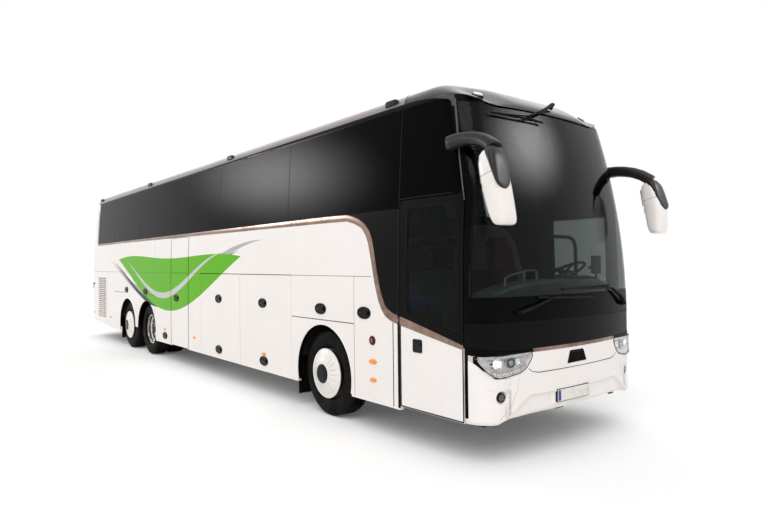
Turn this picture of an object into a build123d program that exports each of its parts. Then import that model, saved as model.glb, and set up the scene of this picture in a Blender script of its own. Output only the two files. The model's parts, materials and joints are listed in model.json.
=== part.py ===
"""Three-axle touring coach, built as its separate panels, glass, running gear and doors.

Frame: +X forward, +Y to the coach's left, +Z up, millimetres, standing on its tyres at Z = 0.
The origin lies on the ground under the middle of the box round the whole coach.
"""

import os
from math import asin, cos, pi, radians, sin, sqrt

from build123d import *

os.makedirs("parts", exist_ok=True)

# ---- Driving sizes: overall -------------------------------------------------
BODY_LENGTH = 14045
HALF_WIDTH = 1275
ROOF_HEIGHT = 3660
MIRROR_LEAD = 225          # the mirror heads stand this far ahead of the front panel
REAR_OVERHANG = 3300       # tag axle to the rear face
TAG_SPACING = 1340         # tag axle behind the drive axle
WHEELBASE = 6700           # front axle to the drive axle

REAR_END = -(BODY_LENGTH + MIRROR_LEAD) / 2
FRONT_END = REAR_END + BODY_LENGTH
MIRROR_FRONT = FRONT_END + MIRROR_LEAD
TAG_AXLE = REAR_END + REAR_OVERHANG
DRIVE_AXLE = TAG_AXLE + TAG_SPACING
FRONT_AXLE = DRIVE_AXLE + WHEELBASE

# ---- Driving sizes: wheels and axles ----------------------------------------
TYRE_RADIUS = 520
TYRE_WIDTH = 295
RIM_RADIUS = 286
RIM_WIDTH = 210
TWIN_SPACING = 335
WHEEL_CENTRE = 1060        # tyre centre from the coach's middle plane
HUB_HEIGHT = TYRE_RADIUS
SPINDLE_RADIUS = 45
RUNNING_GAP = 0.05
SEAT_GAP = 0.3
STEER_OFFSET = 150         # king pin inboard of the wheel centre
KING_PIN = WHEEL_CENTRE - STEER_OFFSET
KING_PIN_RADIUS = 22
ARCH_RADIUS = 590

# ---- Driving sizes: body shell ----------------------------------------------
WALL = 45
GLASS = 12
SKIRT_BOTTOM = 345
WAIST = 1300               # the walls are upright up to here
DECK_SEAM = 1710
SILL = 2410
CANT = 3450
FRONT_BOW = 5000
REAR_BOW = 30000
PANEL_GAP = 6              # shut line at the sides and the foot of an opening panel
HINGE_GAP = 11             # shut line over a top hinge
HINGE_INSET = 12           # hinge axis inside the outer face and under the panel's top edge
HINGE_PIN = 6
HINGE_REACH = 30

# Body sections: height, front set-back, half width, rear set-back, front corner, rear corner,
# and the share of the wall's thickness by which the inner skin lies lower.
BODY_SECTIONS = [
    (SKIRT_BOTTOM, 0, HALF_WIDTH, 0, 250, 300, 0.0),
    (WAIST, 0, HALF_WIDTH, 0, 250, 300, 0.0),
    (SILL, 92, HALF_WIDTH - 26, 51, 250, 300, 0.0),
    (CANT, 330, HALF_WIDTH - 95, 190, 250, 300, 0.0),
]
ROOF_SECTIONS = [
    (CANT, 330, HALF_WIDTH - 95, 190, 250, 300, 0.0),
    (CANT + 105, 395, HALF_WIDTH - 140, 225, 250, 290, 0.5),
    (CANT + 172, 505, HALF_WIDTH - 235, 310, 240, 280, 0.85),
    (ROOF_HEIGHT, 760, HALF_WIDTH - 480, 560, 230, 260, 1.0),
]

# ---- Stations along the coach ------------------------------------------------
DOOR_FRONT = FRONT_AXLE + 2345
DOOR_REAR = FRONT_AXLE + 1440
DOOR_TOP = 2490
MID_DOOR_FRONT = FRONT_AXLE - 4370
MID_DOOR_REAR = FRONT_AXLE - 5235
MID_DOOR_TOP = 2350
FLAP_BREAKS = [FRONT_AXLE - 740, FRONT_AXLE - 2280, FRONT_AXLE - 3820]
REAR_CORNER = FRONT_AXLE - 10700
ENGINE_GRILLE = (FRONT_AXLE - 10640, FRONT_AXLE - 9810, 560, 1610)
GLASS_REAR = REAR_CORNER + 20
WINDOW_BREAKS = [FRONT_AXLE + step for step in (1440, -860, -3090, -5020, -7170, -9200, -10700)]
PILLAR = 60

# ---- Floors and frame --------------------------------------------------------
DECK_TOP = 1740
DECK_THICKNESS = 40
CAB_FLOOR_TOP = 1050
STEP_FLOOR_TOP = 420
DECK_FRONT = FRONT_AXLE + 800
HOLD_FLOOR_TOP = 400
HOLD_FRONT = FRONT_AXLE - 690
HOLD_REAR = FRONT_AXLE - 4330
RAIL_INNER, RAIL_OUTER = 360, 460
RAIL_BOTTOM, RAIL_TOP = 665, 800
HOUSING_INNER = 490
HOUSING_REACH = 620
HOUSING_TOP = 1150
SHEET = 10


# ---- Shared helpers -----------------------------------------------------------
def block(x, y, z, mode=Mode.ADD):
    """Box between two corners, given as a range along each axis, in either order."""
    with Locations(((x[0] + x[1]) / 2, (y[0] + y[1]) / 2, (z[0] + z[1]) / 2)):
        Box(abs(x[1] - x[0]), abs(y[1] - y[0]), abs(z[1] - z[0]), mode=mode)


def rod(centre, radius, reach, axis="Y", mode=Mode.ADD):
    """Cylinder along one axis; reach is its range along that axis."""
    turn = {"X": (0, 90, 0), "Y": (90, 0, 0), "Z": (0, 0, 0)}[axis]
    middle = (reach[0] + reach[1]) / 2
    place = {
        "X": (middle, centre[0], centre[1]),
        "Y": (centre[0], middle, centre[1]),
        "Z": (centre[0], centre[1], middle),
    }[axis]
    with Locations(Location(place, turn)):
        Cylinder(radius, abs(reach[1] - reach[0]), mode=mode)


def plan_outline(height, set_back, half, rear_back, front_radius, rear_radius, inset):
    """Closed plan of the body: bowed front and rear, four corner arcs, two straight sides."""
    front = FRONT_END - set_back - inset
    rear = REAR_END + rear_back + inset
    side = half - inset
    turns = []
    for tip, bow, corner, way in (
        (front, FRONT_BOW - inset, front_radius - inset, 1),
        (rear, REAR_BOW - inset, rear_radius - inset, -1),
    ):
        centre_x = tip - way * bow
        lean = asin((side - corner) / (bow - corner))
        corner_x = centre_x + way * (bow - corner) * cos(lean)
        tangent = (centre_x + way * bow * cos(lean), bow * sin(lean))
        half_turn = (lean + pi / 2) / 2
        middle = (corner_x + way * corner * cos(half_turn), side - corner + corner * sin(half_turn))
        turns.append((tip, tangent, middle, corner_x))
    (tip_f, tan_f, mid_f, start_f), (tip_r, tan_r, mid_r, start_r) = turns
    with BuildSketch(Plane.XY.offset(height)) as plan:
        with BuildLine():
            ThreePointArc((tan_f[0], -tan_f[1]), (tip_f, 0), tan_f)
            ThreePointArc(tan_f, mid_f, (start_f, side))
            Line((start_f, side), (start_r, side))
            ThreePointArc((start_r, side), mid_r, tan_r)
            ThreePointArc(tan_r, (tip_r, 0), (tan_r[0], -tan_r[1]))
            ThreePointArc((tan_r[0], -tan_r[1]), (mid_r[0], -mid_r[1]), (start_r, -side))
            Line((start_r, -side), (start_f, -side))
            ThreePointArc((start_f, -side), (mid_f[0], -mid_f[1]), (tan_f[0], -tan_f[1]))
        make_face()
    return plan.sketch


def body_solid(inset, foot=0):
    """The body's outer form, set in by inset all round; foot lengthens it downwards."""
    with BuildPart() as solid:
        lowest = BODY_SECTIONS[0]
        extrude(plan_outline(lowest[0] - foot, *lowest[1:6], inset), amount=WAIST - SKIRT_BOTTOM + foot)
        for table in (BODY_SECTIONS[1:], ROOF_SECTIONS):
            loft([plan_outline(row[0] - row[6] * inset, *row[1:6], inset) for row in table])
    return solid.part


def side_prism(points, mode, y=(-2000, 2000)):
    """Cut or keep a region given as a side-view polygon in X and Z."""
    with BuildSketch(Plane.XZ.offset(-y[1])) as region:
        with BuildLine():
            Polyline(*points, close=True)
        make_face()
    extrude(region.sketch, amount=y[1] - y[0], mode=mode)


OUTER = body_solid(0)
SHELL = OUTER - body_solid(WALL, foot=5)
SKIN = OUTER - body_solid(GLASS, foot=5)
RIBS = body_solid(GLASS + SEAT_GAP) - body_solid(GLASS + WALL, foot=5)


def keep(builder, label):
    """Label a finished piece and write it."""
    builder.part.label = label
    export_step(builder.part, f"parts/{label}.step")


# ---- Side walls with their flaps, doors and arches ----------------------------
FLAP_TOP = DECK_SEAM - HINGE_GAP
HINGE_Y = HALF_WIDTH - HINGE_INSET
HINGE_Z = FLAP_TOP - HINGE_INSET
HOUSINGS = [
    (FRONT_AXLE - ARCH_RADIUS, FRONT_AXLE + ARCH_RADIUS),
    (TAG_AXLE - ARCH_RADIUS, DRIVE_AXLE + ARCH_RADIUS),
]
GRILLE_PITCH = 48
GRILLE_SLOT = 26
REAR_RISE = 135            # the skirt climbs this much to the rear corner
TAIL_START = FRONT_AXLE - 9500


def trim_skirt():
    """Let the skirt climb towards the tail and open the wheel arches."""
    side_prism(
        [
            (TAIL_START, SKIRT_BOTTOM - 20),
            (REAR_END - 100, SKIRT_BOTTOM - 20),
            (REAR_END - 100, SKIRT_BOTTOM + REAR_RISE),
            (TAIL_START, SKIRT_BOTTOM),
        ],
        Mode.SUBTRACT,
    )
    for axle in (FRONT_AXLE, DRIVE_AXLE, TAG_AXLE):
        rod((axle, HUB_HEIGHT), ARCH_RADIUS, (-2000, 2000), "Y", Mode.SUBTRACT)
    for low, high in HOUSINGS:
        block((low, high), (-2000, 2000), (0, HUB_HEIGHT), Mode.SUBTRACT)


def hinge_pins(side, breaks):
    """Tabs and pins that carry the top-hinged flaps between the given breaks."""
    for index, station in enumerate(breaks):
        reach = PANEL_GAP + HINGE_REACH
        back = 20 if index == len(breaks) - 1 else reach
        ahead = 20 if index == 0 else reach
        ends = (station - back, station + ahead)
        if index not in (0, len(breaks) - 1):
            block(
                (station - 2.5, station + 2.5),
                (side * (HALF_WIDTH - 2 * HINGE_INSET), side * HALF_WIDTH),
                (HINGE_Z - HINGE_INSET, DECK_SEAM + 1),
            )
        rod((side * HINGE_Y, HINGE_Z), HINGE_PIN, ends, "X")


def side_wall(side):
    """One side of the body from the skirt to the window sill."""
    with BuildPart() as wall:
        add(SHELL)
        block((REAR_CORNER, DOOR_FRONT), (side * 900, side * 1400), (300, SILL), Mode.INTERSECT)
        trim_skirt()
        block((FLAP_BREAKS[-1], FLAP_BREAKS[0]), (side * 900, side * 1400), (300, DECK_SEAM), Mode.SUBTRACT)
        if side < 0:
            block((DOOR_REAR, DOOR_FRONT + 50), (side * 900, side * 1400), (300, SILL + 50), Mode.SUBTRACT)
            block((MID_DOOR_REAR, MID_DOOR_FRONT), (side * 900, side * 1400), (300, MID_DOOR_TOP), Mode.SUBTRACT)
        else:
            block(CAB_WINDOW_X, (side * 900, side * 1400), CAB_WINDOW_Z, Mode.SUBTRACT)
        low_x, high_x, low_z, high_z = ENGINE_GRILLE
        slots = int((high_z - low_z) // GRILLE_PITCH)
        for index in range(slots):
            slot = low_z + index * GRILLE_PITCH
            block(
                (low_x + 30, high_x - 30),
                (side * 900, side * 1400),
                (slot, slot + GRILLE_SLOT),
                Mode.SUBTRACT,
            )
        hinge_pins(side, FLAP_BREAKS)
    return wall


CAB_WINDOW_X = (FRONT_AXLE + 1520, FRONT_AXLE + 2260)
CAB_WINDOW_Z = (1400, 2360)

side_wall_right = side_wall(-1)
keep(side_wall_right, "side_wall_right")
side_wall_left = side_wall(1)
keep(side_wall_left, "side_wall_left")


def luggage_flap(side, front, rear):
    """A top-hinged flap as thick as the wall, with the bores for its hinge pins."""
    with BuildPart() as flap:
        add(SHELL)
        block((rear + PANEL_GAP, front - PANEL_GAP), (side * 900, side * 1400), (300, FLAP_TOP), Mode.INTERSECT)
        rod((side * HINGE_Y, HINGE_Z), HINGE_PIN + RUNNING_GAP, (rear, rear + PANEL_GAP + HINGE_REACH + 1), "X",
            Mode.SUBTRACT)
        rod((side * HINGE_Y, HINGE_Z), HINGE_PIN + RUNNING_GAP, (front - PANEL_GAP - HINGE_REACH - 1, front), "X",
            Mode.SUBTRACT)
    return flap


for side, word in ((-1, "right"), (1, "left")):
    for index, (front, rear) in enumerate(zip(FLAP_BREAKS, FLAP_BREAKS[1:]), start=1):
        flap = luggage_flap(side, front, rear)
        keep(flap, f"luggage_flap_{word}_{index}")

# ---- Roof, window ribs and glass ----------------------------------------------
HATCH_SIZE = (900, 760, 35)
HATCH_STATIONS = [FRONT_AXLE - 800, FRONT_AXLE - 8600]
with BuildPart() as roof:
    add(SHELL)
    block((REAR_END - 50, FRONT_END + 50), (-1400, 1400), (CANT, ROOF_HEIGHT + 50), Mode.INTERSECT)
keep(roof, "roof")

with BuildPart() as roof_hatches:
    for station in HATCH_STATIONS:
        with Locations((station, 0, ROOF_HEIGHT + SEAT_GAP)):
            Box(*HATCH_SIZE, align=(Align.CENTER, Align.CENTER, Align.MIN))
    fillet(roof_hatches.edges().filter_by(Axis.Z), 80)
    fillet(roof_hatches.faces().sort_by(Axis.Z)[-2:].edges(), 15)
keep(roof_hatches, "roof_hatches")

SCREEN_FOOT = 1285
SCREEN_TOP = 3370
POST_WIDTH = 55            # windscreen post, beside the door
POST_LEAN = 260            # the post leans back this far between the door's top and the cant rail


def post_line(shift, foot, top):
    """Rear or front edge of the windscreen post in side view, upright and then leaning back."""
    lean = POST_LEAN * (top - DOOR_TOP) / (CANT - DOOR_TOP)
    x = DOOR_FRONT + shift
    return [(x, foot), (x, DOOR_TOP), (x - lean, top)]


def ahead_of_post(shift, foot, top):
    """Side-view region from the post to well ahead of the coach."""
    return post_line(shift, foot, top) + [(FRONT_END + 300, top), (FRONT_END + 300, foot)]


REAR_WINDOW_HALF = 930
REAR_WINDOW_Z = (2480, 3330)


def window_openings():
    """Openings between the ribs on both sides, one for each pane."""
    for front, rear in zip(WINDOW_BREAKS, WINDOW_BREAKS[1:]):
        last = rear == WINDOW_BREAKS[-1]
        block(
            (rear + (2 if last else 1) * PILLAR, front - PILLAR),
            (-1400, 1400),
            (SILL + 90, CANT - 90),
            Mode.SUBTRACT,
        )


with BuildPart() as window_frame:
    add(RIBS)
    block((REAR_CORNER, DOOR_FRONT), (-1400, 1400), (SILL, CANT - SEAT_GAP), Mode.INTERSECT)
    side_prism(ahead_of_post(-SEAT_GAP, SILL - 5, CANT + 5), Mode.SUBTRACT)
    window_openings()
    block((DOOR_REAR, DOOR_FRONT + 5), (-1400, 0), (SILL - 5, DOOR_TOP), Mode.SUBTRACT)
keep(window_frame, "window_frame")

with BuildPart() as front_frame:
    add(SHELL)
    side_prism(ahead_of_post(0, SCREEN_FOOT, CANT - SEAT_GAP), Mode.INTERSECT)
    side_prism(ahead_of_post(POST_WIDTH, SCREEN_FOOT - 5, SCREEN_TOP), Mode.SUBTRACT)
keep(front_frame, "front_frame")

with BuildPart() as windscreen:
    add(SKIN)
    side_prism(
        ahead_of_post(POST_WIDTH + SEAT_GAP, SCREEN_FOOT + SEAT_GAP, SCREEN_TOP - SEAT_GAP), Mode.INTERSECT
    )
keep(windscreen, "windscreen")


def side_glass(side):
    """The bonded glass band of one side; it stops over the front door on the right."""
    with BuildPart() as glass:
        add(SKIN)
        block(
            (GLASS_REAR, DOOR_FRONT - SEAT_GAP),
            (side * 700, side * 1400),
            (SILL + SEAT_GAP, CANT - SEAT_GAP),
            Mode.INTERSECT,
        )
        side_prism(ahead_of_post(-SEAT_GAP, SILL - 5, CANT + 5), Mode.SUBTRACT)
        if side < 0:
            block((DOOR_REAR, DOOR_FRONT + 5), (side * 900, side * 1400), (SILL - 5, DOOR_TOP), Mode.SUBTRACT)
    return glass


side_glass_right = side_glass(-1)
keep(side_glass_right, "side_glass_right")
side_glass_left = side_glass(1)
keep(side_glass_left, "side_glass_left")

with BuildPart() as cab_window:
    add(SKIN)
    block(
        (CAB_WINDOW_X[0] + SEAT_GAP, CAB_WINDOW_X[1] - SEAT_GAP),
        (900, 1400),
        (CAB_WINDOW_Z[0] + SEAT_GAP, CAB_WINDOW_Z[1] - SEAT_GAP),
        Mode.INTERSECT,
    )
keep(cab_window, "cab_window")

# ---- Rear wall, window and engine door ----------------------------------------
ENGINE_DOOR_HALF = 800
ENGINE_DOOR_Z = (620, 1720)
REAR_HINGE_GAP = 24
REAR_CROWN = REAR_BOW - sqrt(REAR_BOW**2 - ENGINE_DOOR_HALF**2)
REAR_HINGE_X = REAR_END + REAR_CROWN + HINGE_INSET
ENGINE_DOOR_TOP = ENGINE_DOOR_Z[1] - REAR_HINGE_GAP
REAR_HINGE_Z = ENGINE_DOOR_TOP - HINGE_INSET - 4
TAIL_LAMP = [(1010, 1350), (1010, 900), (1200, 900), (1200, 1350)]


def tail_lamp_region(mode, gap=0):
    """Both tail lamps, seen from behind."""
    for side in (-1, 1):
        block(
            (REAR_END - 50, REAR_END + 260),
            (side * (TAIL_LAMP[0][0] + gap), side * (TAIL_LAMP[2][0] - gap)),
            (TAIL_LAMP[1][1] + gap, TAIL_LAMP[0][1] - gap),
            mode,
        )


with BuildPart() as rear_wall:
    add(SHELL)
    block((REAR_END - 50, REAR_CORNER), (-1400, 1400), (300, CANT - SEAT_GAP), Mode.INTERSECT)
    trim_skirt()
    block((REAR_END - 50, REAR_END + 400), (-REAR_WINDOW_HALF, REAR_WINDOW_HALF), REAR_WINDOW_Z, Mode.SUBTRACT)
    block((REAR_END - 50, REAR_END + 400), (-ENGINE_DOOR_HALF, ENGINE_DOOR_HALF), ENGINE_DOOR_Z, Mode.SUBTRACT)
    tail_lamp_region(Mode.SUBTRACT)
    for side in (-1, 1):
        rod(
            (REAR_HINGE_X, REAR_HINGE_Z),
            HINGE_PIN,
            (side * (ENGINE_DOOR_HALF - PANEL_GAP - HINGE_REACH), side * (ENGINE_DOOR_HALF + 20)),
            "Y",
        )
keep(rear_wall, "rear_wall")

with BuildPart() as rear_window:
    add(SKIN)
    block(
        (REAR_END - 50, REAR_END + 400),
        (-REAR_WINDOW_HALF + SEAT_GAP, REAR_WINDOW_HALF - SEAT_GAP),
        (REAR_WINDOW_Z[0] + SEAT_GAP, REAR_WINDOW_Z[1] - SEAT_GAP),
        Mode.INTERSECT,
    )
keep(rear_window, "rear_window")

with BuildPart() as engine_door:
    add(SHELL)
    block(
        (REAR_END - 50, REAR_END + 400),
        (-ENGINE_DOOR_HALF + PANEL_GAP, ENGINE_DOOR_HALF - PANEL_GAP),
        (ENGINE_DOOR_Z[0] + PANEL_GAP, ENGINE_DOOR_TOP),
        Mode.INTERSECT,
    )
    for side in (-1, 1):
        rod(
            (REAR_HINGE_X, REAR_HINGE_Z),
            HINGE_PIN + RUNNING_GAP,
            (side * (ENGINE_DOOR_HALF - PANEL_GAP - HINGE_REACH - 1), side * ENGINE_DOOR_HALF),
            "Y",
            Mode.SUBTRACT,
        )
keep(engine_door, "engine_door")

# ---- Front panel, bumper and lamps ---------------------------------------------
BUMPER_TOP = 814
BUMPER_RISE = 60
HEADLAMP = [(686, 1017), (1300, 1002), (1215, 880), (1076, 800), (860, 830), (768, 875)]


def headlamp_region(mode, gap=0.0):
    """Both headlamps as front-view outlines, run back through the shell."""
    for side in (-1, 1):
        with BuildSketch(Plane.YZ.offset(DOOR_FRONT + 4)) as region:
            with BuildLine():
                Polyline(*[(side * y, z) for y, z in HEADLAMP], close=True)
            make_face()
            if gap:
                offset(amount=-gap)
        extrude(region.sketch, amount=FRONT_END - DOOR_FRONT + 50, mode=mode)


with BuildPart() as front_panel:
    add(SHELL)
    block((DOOR_FRONT, FRONT_END + 50), (-1400, 1400), (BUMPER_TOP, SCREEN_FOOT - SEAT_GAP), Mode.INTERSECT)
    headlamp_region(Mode.SUBTRACT)
keep(front_panel, "front_panel")

with BuildPart() as front_bumper:
    add(SHELL)
    block((DOOR_FRONT, FRONT_END + 50), (-1400, 1400), (300, BUMPER_TOP - SEAT_GAP), Mode.INTERSECT)
    headlamp_region(Mode.SUBTRACT)
    side_prism(
        [
            (DOOR_FRONT - 5, SKIRT_BOTTOM + 35),
            (FRONT_END - 230, SKIRT_BOTTOM + 40),
            (FRONT_END + 60, SKIRT_BOTTOM + 40 + BUMPER_RISE),
            (FRONT_END + 60, SKIRT_BOTTOM - 20),
            (DOOR_FRONT - 5, SKIRT_BOTTOM - 20),
        ],
        Mode.SUBTRACT,
    )
keep(front_bumper, "front_bumper")

with BuildPart() as headlamps:
    headlamp_region(Mode.ADD, SEAT_GAP)
    add(SHELL, mode=Mode.INTERSECT)
keep(headlamps, "headlamps")

with BuildPart() as tail_lamps:
    tail_lamp_region(Mode.ADD, SEAT_GAP)
    add(SHELL, mode=Mode.INTERSECT)
keep(tail_lamps, "tail_lamps")

# ---- Front door, its glass and its swing arm ------------------------------------
DOOR_BOTTOM = SKIRT_BOTTOM + 40
DOOR_ARM = 420
DOOR_ARM_HEIGHT = 1000
DOOR_ARM_DEPTH = 45
DOOR_POST_RADIUS = 20
ARM_LINE = HALF_WIDTH - WALL - 60      # the swing arms lie this far out
ARM_PIN_RADIUS = 12
DOOR_GLASS = [
    (FRONT_AXLE + 1550, 1330),
    (FRONT_AXLE + 1550, 2405),
    (FRONT_AXLE + 2245, 2405),
    (FRONT_AXLE + 2280, 1170),
]
DOOR_GLASS_CORNER = 60


def door_leaf(front, rear, top, bottom, glass=None):
    """A door as thick as the wall, its shut lines already taken off."""
    with BuildPart() as leaf:
        add(SHELL)
        block(
            (rear + PANEL_GAP, front - PANEL_GAP - 4),
            (-900, -1400),
            (bottom, top - PANEL_GAP),
            Mode.INTERSECT,
        )
        if glass:
            rounded_prism(glass, DOOR_GLASS_CORNER, Mode.SUBTRACT)
    return leaf


def rounded_prism(points, radius, mode):
    """A side-view polygon with rounded corners, run through the right-hand wall."""
    with BuildSketch(Plane.XZ.offset(1100)) as outline:
        with BuildLine():
            Polyline(*points, close=True)
        make_face()
        fillet(outline.vertices(), radius)
    extrude(outline.sketch, amount=300, mode=mode)


def arm_lug(pin_x, height):
    """The lug on a door's inner face that takes the swing arm's pin."""
    inner = HALF_WIDTH - WALL
    block(
        (pin_x - 30, pin_x + 30),
        (-(inner + 5), -(ARM_LINE - 25)),
        (height + DOOR_ARM_DEPTH / 2 + SEAT_GAP, height + DOOR_ARM_DEPTH / 2 + 40),
    )
    rod((pin_x, -ARM_LINE), ARM_PIN_RADIUS, (height - DOOR_ARM_DEPTH / 2, height + DOOR_ARM_DEPTH / 2 + 40), "Z")


def swing_arm(post_x, pin_x, foot, top, height):
    """A door's post and the arm that carries the leaf."""
    with BuildPart() as arm:
        rod((post_x, -ARM_LINE), DOOR_POST_RADIUS, (foot, top), "Z")
        with BuildSketch(Plane.XY.offset(height - DOOR_ARM_DEPTH / 2)) as bar:
            with Locations(((post_x + pin_x) / 2, -ARM_LINE)):
                SlotCenterToCenter(abs(post_x - pin_x), 46)
        extrude(bar.sketch, amount=DOOR_ARM_DEPTH)
        rod((pin_x, -ARM_LINE), ARM_PIN_RADIUS + RUNNING_GAP,
            (height - DOOR_ARM_DEPTH, height + DOOR_ARM_DEPTH), "Z", Mode.SUBTRACT)
    return arm


FRONT_POST_X = DOOR_FRONT - 45
FRONT_PIN_X = FRONT_POST_X - DOOR_ARM
front_door = door_leaf(DOOR_FRONT, DOOR_REAR, DOOR_TOP, DOOR_BOTTOM, DOOR_GLASS)
with front_door:
    arm_lug(FRONT_PIN_X, DOOR_ARM_HEIGHT)
keep(front_door, "front_door")

with BuildPart() as front_door_glass:
    add(SKIN)
    with BuildSketch(Plane.XZ.offset(1100)) as pane:
        with BuildLine():
            Polyline(*DOOR_GLASS, close=True)
        make_face()
        fillet(pane.vertices(), DOOR_GLASS_CORNER)
        offset(amount=-SEAT_GAP)
    extrude(amount=300, mode=Mode.INTERSECT)
keep(front_door_glass, "front_door_glass")

front_door_arm = swing_arm(FRONT_POST_X, FRONT_PIN_X, STEP_FLOOR_TOP + SEAT_GAP, 2300, DOOR_ARM_HEIGHT)
keep(front_door_arm, "front_door_arm")

MID_POST_X = MID_DOOR_REAR + 50
MID_PIN_X = MID_POST_X + DOOR_ARM
mid_door = door_leaf(MID_DOOR_FRONT, MID_DOOR_REAR, MID_DOOR_TOP, SKIRT_BOTTOM + 15)
with mid_door:
    arm_lug(MID_PIN_X, DOOR_ARM_HEIGHT)
keep(mid_door, "mid_door")
mid_door_arm = swing_arm(MID_POST_X, MID_PIN_X, STEP_FLOOR_TOP + SEAT_GAP, 2300, DOOR_ARM_HEIGHT)
keep(mid_door_arm, "mid_door_arm")

# ---- Floors, steps and luggage hold ----------------------------------------------
INNER_HALF = HALF_WIDTH - WALL - SEAT_GAP
DECK_HALF = INNER_HALF - 8             # the walls already lean in a little at the deck
CAB_FRONT = FRONT_AXLE + 2380
TREAD = 30
RISER = 20
WELL_EDGE = -INNER_HALF + 40
# Stairs as inner edge of each tread and its height; the last riser climbs to the floor above.
ENTRY_STEPS = [(-760, STEP_FLOOR_TOP), (-510, 630), (-260, 840)]
MID_STEPS = [(-960, STEP_FLOOR_TOP), (-740, 684), (-520, 948), (-300, 1212), (-80, 1476)]
DECK_STEPS = [(FRONT_AXLE + 1000, 1510), (FRONT_AXLE + 1200, 1280)]  # front edge, tread height
AISLE_HALF = 230


def stairs(x_range, steps, floor_above):
    """Treads and risers that climb from the right-hand wall towards the middle."""
    outer = WELL_EDGE
    heights = [tread for _, tread in steps[1:]] + [floor_above]
    for (edge, tread), following in zip(steps, heights):
        block(x_range, (outer, edge + RISER), (tread - TREAD, tread))
        block(x_range, (edge, edge + RISER), (tread - TREAD, following))
        outer = edge


deck_bottom = DECK_TOP - DECK_THICKNESS
ENTRY_STAIR_REAR = DOOR_REAR - 40
MID_STAIR_INSET = 20
BULKHEAD = 30
with BuildPart() as deck_floor:
    block((REAR_CORNER + 40, DECK_FRONT), (-DECK_HALF, DECK_HALF), (deck_bottom, DECK_TOP))
    block(
        (MID_DOOR_REAR, MID_DOOR_FRONT),
        (-INNER_HALF - 5, MID_STEPS[-1][0] + RISER + SEAT_GAP),
        (deck_bottom - 5, DECK_TOP + 5),
        Mode.SUBTRACT,
    )
keep(deck_floor, "deck_floor")

with BuildPart() as cab_floor:
    rear = DECK_FRONT + SEAT_GAP
    cab_depth = (CAB_FLOOR_TOP - DECK_THICKNESS, CAB_FLOOR_TOP)
    block((rear, CAB_FRONT), (ENTRY_STEPS[-1][0] + RISER + SEAT_GAP, INNER_HALF - 60), cab_depth)
    block((rear, ENTRY_STAIR_REAR - SEAT_GAP), (-INNER_HALF, INNER_HALF), cab_depth)
    block((rear, rear + BULKHEAD), (-DECK_HALF, DECK_HALF), (CAB_FLOOR_TOP - 10, DECK_TOP))
    for edge, tread in DECK_STEPS:
        block((rear + 10, edge), (-AISLE_HALF - 200, AISLE_HALF), (CAB_FLOOR_TOP - 5, tread))
keep(cab_floor, "cab_floor")

with BuildPart() as entry_steps:
    stairs((ENTRY_STAIR_REAR, CAB_FRONT), ENTRY_STEPS, CAB_FLOOR_TOP)
keep(entry_steps, "entry_steps")

with BuildPart() as mid_steps:
    stairs((MID_DOOR_REAR + MID_STAIR_INSET, MID_DOOR_FRONT - MID_STAIR_INSET), MID_STEPS, DECK_TOP)
keep(mid_steps, "mid_steps")

# ---- Luggage hold and wheel housings ----------------------------------------------
with BuildPart() as hold_tub:
    block((HOLD_REAR, HOLD_FRONT), (-INNER_HALF, INNER_HALF), (HOLD_FLOOR_TOP - 25, HOLD_FLOOR_TOP))
    for low, high in ((HOLD_REAR, HOLD_REAR + 30), (HOLD_FRONT - 30, HOLD_FRONT)):
        block((low, high), (-DECK_HALF, DECK_HALF), (HOLD_FLOOR_TOP - 25, deck_bottom - SEAT_GAP))
keep(hold_tub, "hold_tub")

with BuildPart() as wheel_housings:
    for low, high in ((FRONT_AXLE - HOUSING_REACH, FRONT_AXLE + HOUSING_REACH),
                      (TAG_AXLE - HOUSING_REACH, DRIVE_AXLE + HOUSING_REACH)):
        for side in (-1, 1):
            block((low - SHEET, high + SHEET), (side * (HOUSING_INNER - SHEET), side * INNER_HALF),
                  (RAIL_BOTTOM, HOUSING_TOP + SHEET))
            block((low, high), (side * HOUSING_INNER, side * (INNER_HALF + 5)), (RAIL_BOTTOM - 5, HOUSING_TOP),
                  Mode.SUBTRACT)
keep(wheel_housings, "wheel_housings")

# ---- Chassis frame ------------------------------------------------------------------
FRAME_LOW = SKIRT_BOTTOM - 5
BEAM_LOW = (FRAME_LOW, HOLD_FLOOR_TOP - 25 - SEAT_GAP)
FRONT_MEMBERS = [FRONT_AXLE + 760, FRONT_AXLE + 1340, FRONT_AXLE + 2330]
REAR_MEMBERS = [FRONT_AXLE - 5300, FRONT_AXLE - 8780, REAR_END + 420]
MEMBER = 50
POST = 60
TOW_BORE = 20
TOW_LENGTH = 90
TOW_HEIGHT = 400
TOW_HALF = 60
TOW_STATIONS = [FRONT_MEMBERS[2] + 40, REAR_END + 330]
FLOOR_POSTS = [(FRONT_MEMBERS[1] - 200, CAB_FLOOR_TOP), (REAR_MEMBERS[1] - 60, DECK_TOP)]
HOLD_BEAMS = [FRONT_AXLE - 1500, FRONT_AXLE - 3000]


def rails(mode=Mode.ADD, gap=0.0):
    """Both chassis rails: high over the axles, low under the luggage hold."""
    for side in (-1, 1):
        rail = (side * (RAIL_INNER - gap), side * (RAIL_OUTER + gap))
        high = (RAIL_BOTTOM - gap, RAIL_TOP + gap)
        block((HOLD_FRONT + 20 - gap, TOW_STATIONS[0] - SEAT_GAP + gap), rail, high, mode)
        block((TOW_STATIONS[1] + MEMBER + SEAT_GAP - gap, HOLD_REAR - 20 + gap), rail, high, mode)
        block((HOLD_REAR - 20 - POST, HOLD_FRONT + 20 + POST), rail, (BEAM_LOW[0] - gap, BEAM_LOW[1] + gap), mode)
        for foot in (HOLD_REAR - 20 - POST, HOLD_FRONT + 20):
            block((foot - gap, foot + POST + gap), rail, (FRAME_LOW, RAIL_TOP), mode)


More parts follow.
